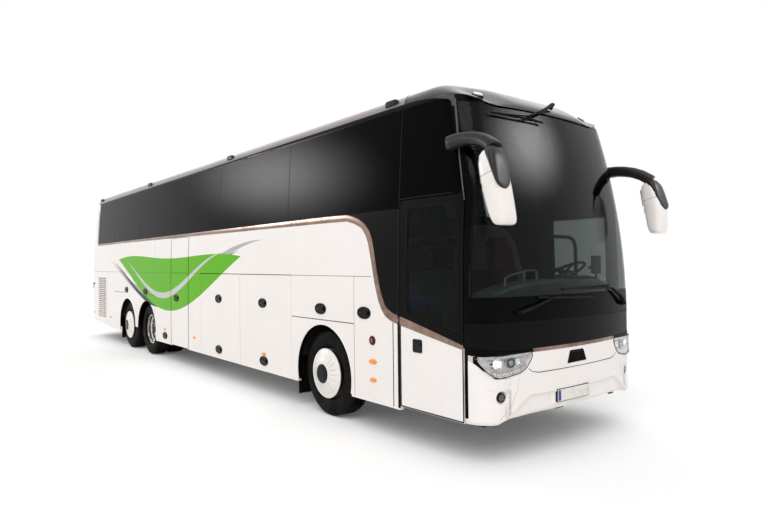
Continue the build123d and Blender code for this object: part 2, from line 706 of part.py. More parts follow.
with BuildPart() as chassis_frame:
    rails()
    for station, floor in FLOOR_POSTS:
        for side in (-1, 1):
            block((station, station + POST), (side * RAIL_INNER, side * RAIL_OUTER),
                  (RAIL_TOP - 5, floor - DECK_THICKNESS - SEAT_GAP))
keep(chassis_frame, "chassis_frame")

with BuildPart() as cross_members:
    member_depth = (RAIL_BOTTOM, RAIL_BOTTOM + 80)
    for station in FRONT_MEMBERS[:2]:
        block((station, station + MEMBER), (-INNER_HALF, INNER_HALF), member_depth)
    for station in REAR_MEMBERS:
        reach = INNER_HALF if station > REAR_END + 800 else RAIL_OUTER
        block((station, station + MEMBER), (-reach, reach), member_depth)
    for station in HOLD_BEAMS:
        block((station, station + MEMBER), (-INNER_HALF, INNER_HALF), BEAM_LOW)
    for station in TOW_STATIONS:
        block((station, station + MEMBER), (-RAIL_OUTER, RAIL_OUTER), member_depth)
    rails(Mode.SUBTRACT, SEAT_GAP)
keep(cross_members, "cross_members")

with BuildPart() as tow_brackets:
    for station in TOW_STATIONS:
        block((station, station + TOW_LENGTH), (-TOW_HALF, TOW_HALF), (TOW_HEIGHT - 50, RAIL_BOTTOM - SEAT_GAP))
        rod((0, TOW_HEIGHT), TOW_BORE, (station - 5, station + TOW_LENGTH + 5), "X", Mode.SUBTRACT)
keep(tow_brackets, "tow_brackets")

# ---- Axles, knuckles and king pins ----------------------------------------------------
BEAM = 60
EYE_HEIGHT = 90
EYE_RADIUS = 48
SPRING_SEAT = 50
HUB_FACE = WHEEL_CENTRE - RIM_WIDTH / 2 - 8     # inner face of the wheel's hub
KNUCKLE_YOKE = 30
with BuildPart() as front_axle:
    block((FRONT_AXLE - BEAM, FRONT_AXLE + BEAM), (-KING_PIN + 30, KING_PIN - 30),
          (HUB_HEIGHT - BEAM, HUB_HEIGHT + BEAM))
    for side in (-1, 1):
        rod((FRONT_AXLE, side * KING_PIN), EYE_RADIUS, (HUB_HEIGHT - BEAM, HUB_HEIGHT + BEAM), "Z")
        rod((FRONT_AXLE, side * KING_PIN), KING_PIN_RADIUS + RUNNING_GAP,
            (HUB_HEIGHT - BEAM - 5, HUB_HEIGHT + BEAM + 5), "Z", Mode.SUBTRACT)
        block((FRONT_AXLE - SPRING_SEAT, FRONT_AXLE + SPRING_SEAT), (side * RAIL_INNER, side * RAIL_OUTER),
              (HUB_HEIGHT, RAIL_BOTTOM - SEAT_GAP))
keep(front_axle, "front_axle")

with BuildPart() as rear_axles:
    for axle in (DRIVE_AXLE, TAG_AXLE):
        rod((axle, HUB_HEIGHT), 65, (-560 if axle == DRIVE_AXLE else -HUB_FACE + 5,
                                    560 if axle == DRIVE_AXLE else HUB_FACE - 5), "Y")
        rod((axle, HUB_HEIGHT), SPINDLE_RADIUS, (-WHEEL_CENTRE - 90, WHEEL_CENTRE + 90), "Y")
        for side in (-1, 1):
            block((axle - SPRING_SEAT, axle + SPRING_SEAT), (side * RAIL_INNER, side * RAIL_OUTER),
                  (HUB_HEIGHT, RAIL_BOTTOM - SEAT_GAP))
    with Locations(Location((DRIVE_AXLE, 0, HUB_HEIGHT), (90, 0, 0))):
        Cylinder(190, 260)
keep(rear_axles, "rear_axles")


def knuckle(side):
    """Yoke over the axle's eye, king pin and wheel spindle of one steered wheel."""
    with BuildPart() as piece:
        reach = HUB_HEIGHT - BEAM - 5 - KNUCKLE_YOKE, HUB_HEIGHT + BEAM + 5 + KNUCKLE_YOKE
        for low, high in ((reach[0], reach[0] + KNUCKLE_YOKE), (reach[1] - KNUCKLE_YOKE, reach[1])):
            rod((FRONT_AXLE, side * KING_PIN), EYE_RADIUS, (low, high), "Z")
            block((FRONT_AXLE - 40, FRONT_AXLE + 40), (side * KING_PIN, side * (KING_PIN + 75)), (low, high))
        block((FRONT_AXLE - 40, FRONT_AXLE + 40), (side * (KING_PIN + 56), side * (KING_PIN + 75)), reach)
        rod((FRONT_AXLE, side * KING_PIN), KING_PIN_RADIUS, reach, "Z")
        rod((FRONT_AXLE, HUB_HEIGHT), SPINDLE_RADIUS, (side * (KING_PIN + 60), side * (WHEEL_CENTRE + 90)), "Y")
    return piece


knuckle_right = knuckle(-1)
keep(knuckle_right, "knuckle_right")
knuckle_left = knuckle(1)
keep(knuckle_left, "knuckle_left")

# ---- Wheels -----------------------------------------------------------------------------
RIM_SHEET = 10
RIM_LIP = 12
RIM_EDGE = 8
SINGLE_DISC = 30           # disc of a single wheel, outboard of the wheel's centre
TWIN_DISC = -75            # disc of the outer twin, inboard of its centre
HUB_RADIUS = 120
COVER_RADIUS = 300
COVER_DEPTH = 70


def turned(points, axle_x):
    """A closed half section (distance from the coach's middle plane, radius), turned about an axle."""
    with BuildSketch(Plane.XY) as section:
        with BuildLine():
            Polyline(*[(axle_x + radius, y) for y, radius in points], close=True)
        make_face()
    lifted = section.sketch.moved(Location((0, 0, HUB_HEIGHT)))
    revolve(lifted, axis=Axis((axle_x, 0, HUB_HEIGHT), (0, 1, 0)))


def rim_ring(centre, axle_x, side, disc):
    """Rim barrel with its flanges, and the disc that joins it to the hub."""
    half = RIM_WIDTH / 2
    inner = RIM_RADIUS - RIM_SHEET
    turned(
        [
            (side * (centre - half), inner), (side * (centre + half), inner),
            (side * (centre + half), RIM_RADIUS + RIM_LIP), (side * (centre + half - RIM_EDGE), RIM_RADIUS + RIM_LIP),
            (side * (centre + half - RIM_EDGE), RIM_RADIUS), (side * (centre - half + RIM_EDGE), RIM_RADIUS),
            (side * (centre - half + RIM_EDGE), RIM_RADIUS + RIM_LIP), (side * (centre - half), RIM_RADIUS + RIM_LIP),
        ],
        axle_x,
    )
    bore = SPINDLE_RADIUS + RUNNING_GAP
    turned(
        [
            (side * (centre + disc - 8), bore), (side * (centre + disc + 8), bore),
            (side * (centre + disc + 8), HUB_RADIUS), (side * (centre + disc + 22), RIM_RADIUS - 60),
            (side * (centre + disc + 8), inner + 2), (side * (centre + disc - 8), inner + 2),
            (side * (centre + disc + 6), RIM_RADIUS - 60), (side * (centre + disc - 8), HUB_RADIUS),
        ],
        axle_x,
    )


def hub_tube(low, high, axle_x, side):
    """Hub barrel that runs on the spindle."""
    bore = SPINDLE_RADIUS + RUNNING_GAP
    turned([(side * low, bore), (side * high, bore), (side * high, HUB_RADIUS), (side * low, HUB_RADIUS)], axle_x)


def cover(axle_x, side):
    """Domed cover with its raised hub cap over a single wheel."""
    face = WHEEL_CENTRE + RIM_WIDTH / 2 + 1
    turned(
        [
            (side * (face - 12), 0), (side * (face - 12), COVER_RADIUS - 25), (side * face, COVER_RADIUS),
            (side * (face + 10), COVER_RADIUS), (side * (face + 30), COVER_RADIUS - 50),
            (side * (face + 32), 170), (side * (face + 45), 150), (side * (face + 52), 110),
            (side * (face + COVER_DEPTH - 6), 100), (side * (face + COVER_DEPTH), 80), (side * (face + COVER_DEPTH), 0),
        ],
        axle_x,
    )


def tyre_ring(centre, axle_x, side):
    """Tyre with rounded shoulders and bulged side walls."""
    half = TYRE_WIDTH / 2
    inner = RIM_RADIUS + SEAT_GAP
    bead = RIM_WIDTH / 2 - RIM_EDGE - SEAT_GAP
    lip = RIM_RADIUS + RIM_LIP + SEAT_GAP
    turned(
        [
            (side * (centre + bead), inner), (side * (centre + bead), lip), (side * (centre + half - 14), inner + 45),
            (side * (centre + half), inner + 115), (side * (centre + half - 8), TYRE_RADIUS - 48),
            (side * (centre + half - 28), TYRE_RADIUS - 10), (side * (centre + half - 60), TYRE_RADIUS),
            (side * (centre - half + 60), TYRE_RADIUS), (side * (centre - half + 28), TYRE_RADIUS - 10),
            (side * (centre - half + 8), TYRE_RADIUS - 48), (side * (centre - half), inner + 115),
            (side * (centre - half + 14), inner + 45), (side * (centre - bead), lip), (side * (centre - bead), inner),
        ],
        axle_x,
    )


HUB_OUTER = WHEEL_CENTRE + 80
for side, word in ((-1, "right"), (1, "left")):
    for axle_x, place in ((FRONT_AXLE, "front"), (TAG_AXLE, "tag")):
        with BuildPart() as single:
            rim_ring(WHEEL_CENTRE, axle_x, side, SINGLE_DISC)
            hub_tube(KING_PIN + 76, HUB_OUTER, axle_x, side)
            cover(axle_x, side)
        keep(single, f"{place}_wheel_{word}")
        with BuildPart() as tyre:
            tyre_ring(WHEEL_CENTRE, axle_x, side)
        keep(tyre, f"{place}_tyre_{word}")
    twin = WHEEL_CENTRE - TWIN_SPACING
    with BuildPart() as pair:
        rim_ring(WHEEL_CENTRE, DRIVE_AXLE, side, TWIN_DISC)
        rim_ring(twin, DRIVE_AXLE, side, -TWIN_DISC)
        hub_tube(twin - 100, HUB_OUTER + 40, DRIVE_AXLE, side)
    keep(pair, f"drive_wheel_{word}")
    with BuildPart() as tyre:
        tyre_ring(WHEEL_CENTRE, DRIVE_AXLE, side)
        tyre_ring(twin, DRIVE_AXLE, side)
    keep(tyre, f"drive_tyre_{word}")

# ---- Engine -------------------------------------------------------------------------------
with BuildPart() as engine:
    block((REAR_END + 520, REAR_END + 1800), (-320, 320), (RAIL_BOTTOM + 80 + SEAT_GAP, 1480))
    fillet(engine.edges().filter_by(Axis.Z), 40)
    for station in (REAR_END + 640, REAR_END + 1600):
        block((station, station + 80), (-RAIL_OUTER, RAIL_OUTER), (RAIL_TOP + SEAT_GAP, RAIL_TOP + 60))
keep(engine, "engine")

# ---- Mirrors --------------------------------------------------------------------------------
MIRROR_INNER, MIRROR_OUTER = 1235, 1465
ARM_INNER, ARM_OUTER = 1215, 1320
HEAD_PROFILE = [
    (MIRROR_FRONT - 295, 2810), (MIRROR_FRONT - 95, 2790), (MIRROR_FRONT, 2330),
    (MIRROR_FRONT - 12, 2165), (MIRROR_FRONT - 40, 2150), (MIRROR_FRONT - 165, 2150), (MIRROR_FRONT - 225, 2330),
]
ARM_ROOT = FRONT_AXLE + 2120
ARM_PROFILE = [
    (ARM_ROOT, 2880), (ARM_ROOT, 3010), (ARM_ROOT + 200, 3045), (ARM_ROOT + 480, 2985),
    (MIRROR_FRONT - 110, 2830), (MIRROR_FRONT - 130, 2745), (MIRROR_FRONT - 260, 2745),
    (ARM_ROOT + 400, 2890), (ARM_ROOT + 180, 2925),
]
with BuildPart() as mirrors:
    for side in (-1, 1):
        side_prism(ARM_PROFILE, Mode.ADD, sorted((side * ARM_INNER, side * ARM_OUTER)))
        side_prism(HEAD_PROFILE, Mode.ADD, sorted((side * MIRROR_INNER, side * MIRROR_OUTER)))
    fillet(mirrors.edges().filter_by(Axis.Y), 12)
    mirror_clearance = body_solid(-SEAT_GAP)
    add(mirror_clearance, mode=Mode.SUBTRACT)
keep(mirrors, "mirrors")

# ---- Cab and passenger seats, dashboard, steering wheel ---------------------------------------
SEAT_PITCH = 800
SEAT_WIDTH = 920
SEAT_OUTER = INNER_HALF - 75
SEAT_ROWS = {1: [(FRONT_AXLE + 250, 13)], -1: [(FRONT_AXLE + 250, 6), (MID_DOOR_REAR - 150, 6)]}


def seat(x, y_range, floor, cushion_top, back_top, depth=450):
    """A bench with a raked back; x is the seat's front edge."""
    block((x - depth, x), y_range, (cushion_top - 130, cushion_top))
    low, high = sorted(y_range)
    side_prism(
        [(x - depth + 90, cushion_top - 60), (x - depth - 40, cushion_top - 60),
         (x - depth - 170, back_top), (x - depth - 60, back_top)],
        Mode.ADD, (low, high),
    )
    middle = (low + high) / 2
    block((x - depth + 120, x - 120), (middle - 60, middle + 60), (floor, cushion_top - 100))


with BuildPart() as passenger_seats:
    for side, groups in SEAT_ROWS.items():
        for first, count in groups:
            for row in range(count):
                seat(first - row * SEAT_PITCH, (side * SEAT_OUTER, side * (SEAT_OUTER - SEAT_WIDTH)),
                     DECK_TOP + SEAT_GAP, DECK_TOP + 450, DECK_TOP + 1080)
keep(passenger_seats, "passenger_seats")

DRIVER_Y = 690
with BuildPart() as cab_seats:
    seat(FRONT_AXLE + 1640, (DRIVER_Y - 240, DRIVER_Y + 240), CAB_FLOOR_TOP + SEAT_GAP, CAB_FLOOR_TOP + 470,
         CAB_FLOOR_TOP + 1150)
    seat(FRONT_AXLE + 1400, (-1130, -690), CAB_FLOOR_TOP + SEAT_GAP, CAB_FLOOR_TOP + 430, CAB_FLOOR_TOP + 1080)
keep(cab_seats, "cab_seats")

DASH_TOP = 1340
WHEEL_TILT = 28
COLUMN_FOOT = (FRONT_AXLE + 2240, 1395)
STEERING_RADIUS = 235
COLUMN_PIN = 14
COLUMN_AXIS = (-sin(radians(WHEEL_TILT)), 0, cos(radians(WHEEL_TILT)))
column_plane = Plane(origin=(COLUMN_FOOT[0], DRIVER_Y, COLUMN_FOOT[1]), x_dir=(0, 1, 0), z_dir=COLUMN_AXIS)
with BuildPart() as dashboard:
    block((FRONT_AXLE + 2060, CAB_FRONT), (-150, INNER_HALF - 95), (CAB_FLOOR_TOP + SEAT_GAP, DASH_TOP))
    block((FRONT_AXLE + 2310, CAB_FRONT), (-INNER_HALF + 95, -140), (CAB_FLOOR_TOP + 40, DASH_TOP))
    with BuildSketch(column_plane) as foot:
        Circle(45)
    extrude(foot.sketch, amount=110)
    extrude(foot.sketch, amount=-140)
    with BuildSketch(column_plane.offset(40)) as socket:
        Circle(COLUMN_PIN + RUNNING_GAP)
    extrude(socket.sketch, amount=90, mode=Mode.SUBTRACT)
keep(dashboard, "dashboard")

with BuildPart() as steering_wheel:
    with BuildSketch(column_plane.offset(40 + SEAT_GAP)) as shaft:
        Circle(COLUMN_PIN)
    extrude(shaft.sketch, amount=330)
    wheel_plane = column_plane.offset(360)
    with BuildSketch(wheel_plane) as spokes:
        Circle(60)
        with PolarLocations(0, 3):
            Rectangle(STEERING_RADIUS, 34, align=(Align.MIN, Align.CENTER))
    extrude(spokes.sketch, amount=14)
    with BuildSketch(Plane(wheel_plane.origin, x_dir=wheel_plane.x_dir, z_dir=wheel_plane.y_dir)) as rim:
        with Locations((STEERING_RADIUS, -8)):
            Circle(15)
    revolve(rim.sketch, axis=Axis(wheel_plane.origin, wheel_plane.z_dir))
keep(steering_wheel, "steering_wheel")
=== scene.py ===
"""Looks of a three-axle touring coach: finishes, detailed pieces, light and camera.

The coach stands on its tyres at Z = 0, with +X forward, +Y to its left and +Z up, in metres.
Each sub-assembly is a class that holds its sizes, builds its meshes and dresses them.
"""

from __future__ import annotations

import json
import logging
import math
from dataclasses import dataclass
from enum import Enum
from typing import Any, Callable, ClassVar, Sequence

import bmesh
import bpy
import numpy as np
from mathutils import Matrix, Vector
from mathutils.bvhtree import BVHTree

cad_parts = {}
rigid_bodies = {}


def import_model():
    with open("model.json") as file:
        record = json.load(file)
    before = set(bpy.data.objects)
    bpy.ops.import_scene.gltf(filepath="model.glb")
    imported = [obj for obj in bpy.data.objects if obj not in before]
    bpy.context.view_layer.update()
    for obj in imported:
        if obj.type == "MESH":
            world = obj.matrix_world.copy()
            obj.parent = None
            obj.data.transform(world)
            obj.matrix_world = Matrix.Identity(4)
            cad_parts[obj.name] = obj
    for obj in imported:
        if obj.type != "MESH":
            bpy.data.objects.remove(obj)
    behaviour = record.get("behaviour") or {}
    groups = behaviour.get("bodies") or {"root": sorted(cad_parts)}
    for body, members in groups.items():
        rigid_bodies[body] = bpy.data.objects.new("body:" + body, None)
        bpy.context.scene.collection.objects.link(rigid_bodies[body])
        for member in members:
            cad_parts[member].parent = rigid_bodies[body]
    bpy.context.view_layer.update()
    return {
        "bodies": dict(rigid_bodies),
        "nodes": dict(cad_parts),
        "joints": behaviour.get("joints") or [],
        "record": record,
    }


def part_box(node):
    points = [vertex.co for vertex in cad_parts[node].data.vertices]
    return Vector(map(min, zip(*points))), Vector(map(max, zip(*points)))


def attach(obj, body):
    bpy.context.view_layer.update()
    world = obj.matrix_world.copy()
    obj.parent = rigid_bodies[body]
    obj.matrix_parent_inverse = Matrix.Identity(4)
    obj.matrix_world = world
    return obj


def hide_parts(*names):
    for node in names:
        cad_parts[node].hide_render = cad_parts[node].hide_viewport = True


LOG = logging.getLogger("coach")
Colour = tuple[float, float, float]
Pair = tuple[float, float]
Place = Callable[[float, float], tuple[Vector, Vector]]

RIGHT, LEFT = -1, 1
SMOOTH_ANGLE = 32.0  # degrees: sharper edges of a piece stay sharp
BAND_SINK = 0.0015  # metres that the back of a band lies inside the face it is set on
SIDES = ((RIGHT, "right"), (LEFT, "left"))


def linear(red: int, green: int, blue: int) -> Colour:
    """Turn a colour written in display values into the linear values that shaders take.

    Args:
        red, green, blue: Display values from 0 to 255.

    Returns:
        The linear colour.
    """
    def one(value: int) -> float:
        share = value / 255.0
        return share / 12.92 if share <= 0.04045 else ((share + 0.055) / 1.055) ** 2.4

    return one(red), one(green), one(blue)


@dataclass(frozen=True)
class Lines:
    """Where the coach's main lines lie."""

    front: float
    drive: float
    tag: float
    hub: float
    door_front: float = 2.345
    door_rear: float = 1.440
    mid_door: Pair = (-5.235, -4.370)
    flap_breaks: tuple[float, float, float] = (-0.740, -2.280, -3.820)

    def x(self, step: float) -> float:
        """Place along the coach of a point given from the front axle."""
        return self.front + step

    def body_at(self, step: float, side: int) -> str:
        """Name the body that carries the side panel at a point.

        Args:
            step: Distance ahead of the front axle.
            side: RIGHT or LEFT.

        Returns:
            The body's name.
        """
        word = "right" if side == RIGHT else "left"
        for index, (ahead, behind) in enumerate(zip(self.flap_breaks, self.flap_breaks[1:]), start=1):
            if behind < step < ahead:
                return f"luggage_flap_{word}_{index}"
        if side == RIGHT and self.mid_door[0] < step < self.mid_door[1]:
            return "mid_door"
        if side == RIGHT and self.door_rear < step < self.door_front:
            return "front_door"
        return "coach"


def measure_lines() -> Lines:
    """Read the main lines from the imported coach."""
    def middle(node: str) -> Vector:
        low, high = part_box(node)
        return (low + high) / 2

    wheel = middle("front_tyre_right")
    return Lines(
        front=wheel.x,
        drive=middle("drive_tyre_right").x,
        tag=middle("tag_tyre_right").x,
        hub=wheel.z,
    )


# ---- Shaders ------------------------------------------------------------------


class Wire:
    """Adds nodes to one shader tree and links them as they are added."""

    def __init__(self, tree: bpy.types.NodeTree) -> None:
        """Keep the tree that the nodes go into."""
        self.tree = tree

    def node(self, kind: str, **settings: Any) -> bpy.types.Node:
        """Add a node and set its options."""
        node = self.tree.nodes.new(kind)
        for key, value in settings.items():
            setattr(node, key, value)
        return node

    def put(self, socket: Any, value: Any) -> None:
        """Link a socket into an input, or write a plain value there."""
        if isinstance(value, bpy.types.NodeSocket):
            self.tree.links.new(value, socket)
        elif value is not None:
            if socket.type == "RGBA" and len(value) == 3:
                value = (*value, 1.0)
            socket.default_value = value

    def math(self, operation: str, first: Any, second: Any = None, clamp: bool = False) -> Any:
        """Add a Math node and return its value."""
        node = self.node("ShaderNodeMath", operation=operation, use_clamp=clamp)
        self.put(node.inputs[0], first)
        self.put(node.inputs[1], second)
        return node.outputs[0]

    def mix(self, factor: Any, first: Any, second: Any) -> Any:
        """Add a colour Mix node and return its result."""
        node = self.node("ShaderNodeMix", data_type="RGBA")
        self.put(node.inputs[0], factor)
        self.put(node.inputs[6], first)
        self.put(node.inputs[7], second)
        return node.outputs[2]

    def span(self, value: Any, low: float, high: float, to_low: float = 0.0, to_high: float = 1.0) -> Any:
        """Map a range of a value smoothly onto another and return it."""
        node = self.node("ShaderNodeMapRange", interpolation_type="SMOOTHSTEP")
        for socket, number in zip(node.inputs, (value, low, high, to_low, to_high)):
            self.put(socket, number)
        return node.outputs[0]

    def noise(self, vector: Any, scale: Any, detail: float = 3.0) -> Any:
        """Add a Noise texture and return its value."""
        node = self.node("ShaderNodeTexNoise")
        self.put(node.inputs["Vector"], vector)
        self.put(node.inputs["Scale"], scale)
        self.put(node.inputs["Detail"], detail)
        return node.outputs["Fac"]

    def parts(self, vector: Any) -> list[Any]:
        """Split a vector into its three values."""
        node = self.node("ShaderNodeSeparateXYZ")
        self.put(node.inputs[0], vector)
        return list(node.outputs)

    def stretch(self, vector: Any, scale: tuple[float, float, float]) -> Any:
        """Scale a pattern's coordinates and return them."""
        node = self.node("ShaderNodeMapping")
        self.put(node.inputs["Vector"], vector)
        self.put(node.inputs["Scale"], scale)
        return node.outputs[0]

    def group(self, tree: bpy.types.NodeTree, **values: Any) -> bpy.types.Node:
        """Add a shared effect with its own values."""
        node = self.node("ShaderNodeGroup", node_tree=tree)
        for key, value in values.items():
            self.put(node.inputs[key.replace("_", " ").title()], value)
        return node


class Effect(Enum):
    """Shader effects that several finishes share."""

    MOTTLE = "mottle"
    GRAIN = "grain"
    WEAVE = "weave"
    BRUSHED = "brushed"
    ROAD_DUST = "road_dust"
    RIBBON = "ribbon"


class Effects:
    """Builds each shared shader effect once, as a node group."""

    def __init__(self) -> None:
        """Start with no group made."""
        self._made: dict[Effect, bpy.types.NodeTree] = {}

    def tree(self, effect: Effect) -> bpy.types.NodeTree:
        """Return the node group of an effect, building it the first time."""
        if effect not in self._made:
            self._made[effect] = getattr(self, f"_{effect.value}")()
        return self._made[effect]

    @staticmethod
    def _start(name: str, inputs: Sequence[tuple[str, str, Any]], outputs: Sequence[tuple[str, str]]) -> tuple:
        """Make an empty group.

        Args:
            name: The group's name.
            inputs: Name, kind and first value of each input.
            outputs: Name and kind of each output.

        Returns:
            The tree, a Wire for it, the inputs by name and the output node.
        """
        tree = bpy.data.node_groups.new(name, "ShaderNodeTree")
        for label, kind, value in inputs:
            socket = tree.interface.new_socket(name=label, in_out="INPUT", socket_type=f"NodeSocket{kind}")
            if value is not None:
                socket.default_value = value
        for label, kind in outputs:
            tree.interface.new_socket(name=label, in_out="OUTPUT", socket_type=f"NodeSocket{kind}")
        wire = Wire(tree)
        entry = wire.node("NodeGroupInput")
        return tree, wire, {s.name: s for s in entry.outputs if s.name}, wire.node("NodeGroupOutput")

    def _mottle(self) -> bpy.types.NodeTree:
        """Slow clouds between two colours, with a finer mask for the roughness."""
        tree, wire, given, out = self._start(
            "soft_mottle",
            [("Vector", "Vector", None), ("Scale", "Float", 3.0), ("Light", "Color", None), ("Shade", "Color", None)],
            [("Color", "Color"), ("Mask", "Float")],
        )
        slow = wire.noise(given["Vector"], given["Scale"], 3.0)
        fine = wire.noise(given["Vector"], wire.math("MULTIPLY", given["Scale"], 9.0), 4.0)
        both = wire.math("ADD", wire.math("MULTIPLY", slow, 0.7), wire.math("MULTIPLY", fine, 0.3))
        mask = wire.span(both, 0.35, 0.68)
        wire.put(out.inputs["Color"], wire.mix(mask, given["Light"], given["Shade"]))
        wire.put(out.inputs["Mask"], mask)
        return tree

    def _grain(self) -> bpy.types.NodeTree:
        """Pebbled grain of moulded plastic, vinyl and cast surfaces."""
        tree, wire, given, out = self._start(
            "moulded_grain", [("Vector", "Vector", None), ("Scale", "Float", 600.0)], [("Height", "Float")]
        )
        cells = wire.node("ShaderNodeTexVoronoi", feature="SMOOTH_F1")
        wire.put(cells.inputs["Vector"], given["Vector"])
        wire.put(cells.inputs["Scale"], given["Scale"])
        rough = wire.noise(given["Vector"], wire.math("MULTIPLY", given["Scale"], 0.4), 2.0)
        wire.put(out.inputs["Height"], wire.math("ADD", cells.outputs["Distance"], wire.math("MULTIPLY", rough, 0.5)))
        return tree

    def _weave(self) -> bpy.types.NodeTree:
        """Crossed threads of a woven cloth, with a mask of the darker gaps."""
        tree, wire, given, out = self._start(
            "plain_weave",
            [("Vector", "Vector", None), ("Threads", "Float", 500.0)],
            [("Height", "Float"), ("Mask", "Float")],
        )
        x, y, z = wire.parts(given["Vector"])
        across = wire.math("ADD", x, wire.math("MULTIPLY", z, 0.37))
        along = wire.math("ADD", y, wire.math("MULTIPLY", z, 0.91))
        first = wire.math("ABSOLUTE", wire.math("SINE", wire.math("MULTIPLY", across, given["Threads"])))
        second = wire.math("ABSOLUTE", wire.math("SINE", wire.math("MULTIPLY", along, given["Threads"])))
        height = wire.math("MAXIMUM", first, second)
        wire.put(out.inputs["Height"], height)
        wire.put(out.inputs["Mask"], wire.span(height, 0.55, 0.95))
        return tree

    def _brushed(self) -> bpy.types.NodeTree:
        """Fine lines of drawn or brushed metal, run along X."""
        tree, wire, given, out = self._start("brushed_lines", [("Vector", "Vector", None), ("Scale", "Float", 40.0)],
                                             [("Height", "Float"), ("Mask", "Float")])
        lines = wire.noise(wire.stretch(given["Vector"], (0.5, 14.0, 14.0)), given["Scale"], 5.0)
        wire.put(out.inputs["Height"], lines)
        wire.put(out.inputs["Mask"], wire.span(lines, 0.3, 0.7))
        return tree

    def _road_dust(self) -> bpy.types.NodeTree:
        """Road dust that thins out upwards from the ground."""
        tree, wire, given, out = self._start(
            "road_dust",
            [("Vector", "Vector", None), ("Color", "Color", None), ("Amount", "Float", 0.3), ("Reach", "Float", 1.2)],
            [("Color", "Color"), ("Mask", "Float")],
        )
        height = wire.parts(given["Vector"])[2]
        fade = wire.math("SUBTRACT", 1.0, wire.math("DIVIDE", height, given["Reach"]), clamp=True)
        patch = wire.span(wire.noise(wire.stretch(given["Vector"], (1.0, 1.0, 0.35)), 5.0, 5.0), 0.35, 0.75)
        mask = wire.math("MULTIPLY", wire.math("MULTIPLY", fade, patch), given["Amount"], clamp=True)
        wire.put(out.inputs["Color"], wire.mix(mask, given["Color"], linear(150, 140, 128)))
        wire.put(out.inputs["Mask"], mask)
        return tree

    def _ribbon(self) -> bpy.types.NodeTree:
        """A waving painted ribbon on the coach's side, as a mask that tapers to both ends."""
        names = ("X", "Z", "Start", "End", "Height", "Rise", "Phase", "Width")
        tree, wire, given, out = self._start(
            "side_ribbon", [(name, "Float", 0.0) for name in names], [("Mask", "Float")]
        )
        length = wire.math("SUBTRACT", given["End"], given["Start"])
        share = wire.math("DIVIDE", wire.math("SUBTRACT", given["X"], given["Start"]), length)
        bend = wire.math("SINE", wire.math("ADD", wire.math("MULTIPLY", share, 5.2), given["Phase"]))
        line = wire.math("ADD", given["Height"], wire.math("MULTIPLY", bend, given["Rise"]))
        bulge = wire.math("SINE", wire.math("MULTIPLY", share, math.pi))
        width = wire.math("MULTIPLY", bulge, given["Width"])
        off = wire.math("ABSOLUTE", wire.math("SUBTRACT", given["Z"], line))
        inside = wire.math("LESS_THAN", off, width)
        within = wire.math("COMPARE", share, 0.5)
        within.node.inputs[2].default_value = 0.5
        wire.put(out.inputs["Mask"], wire.math("MULTIPLY", inside, within))
        return tree


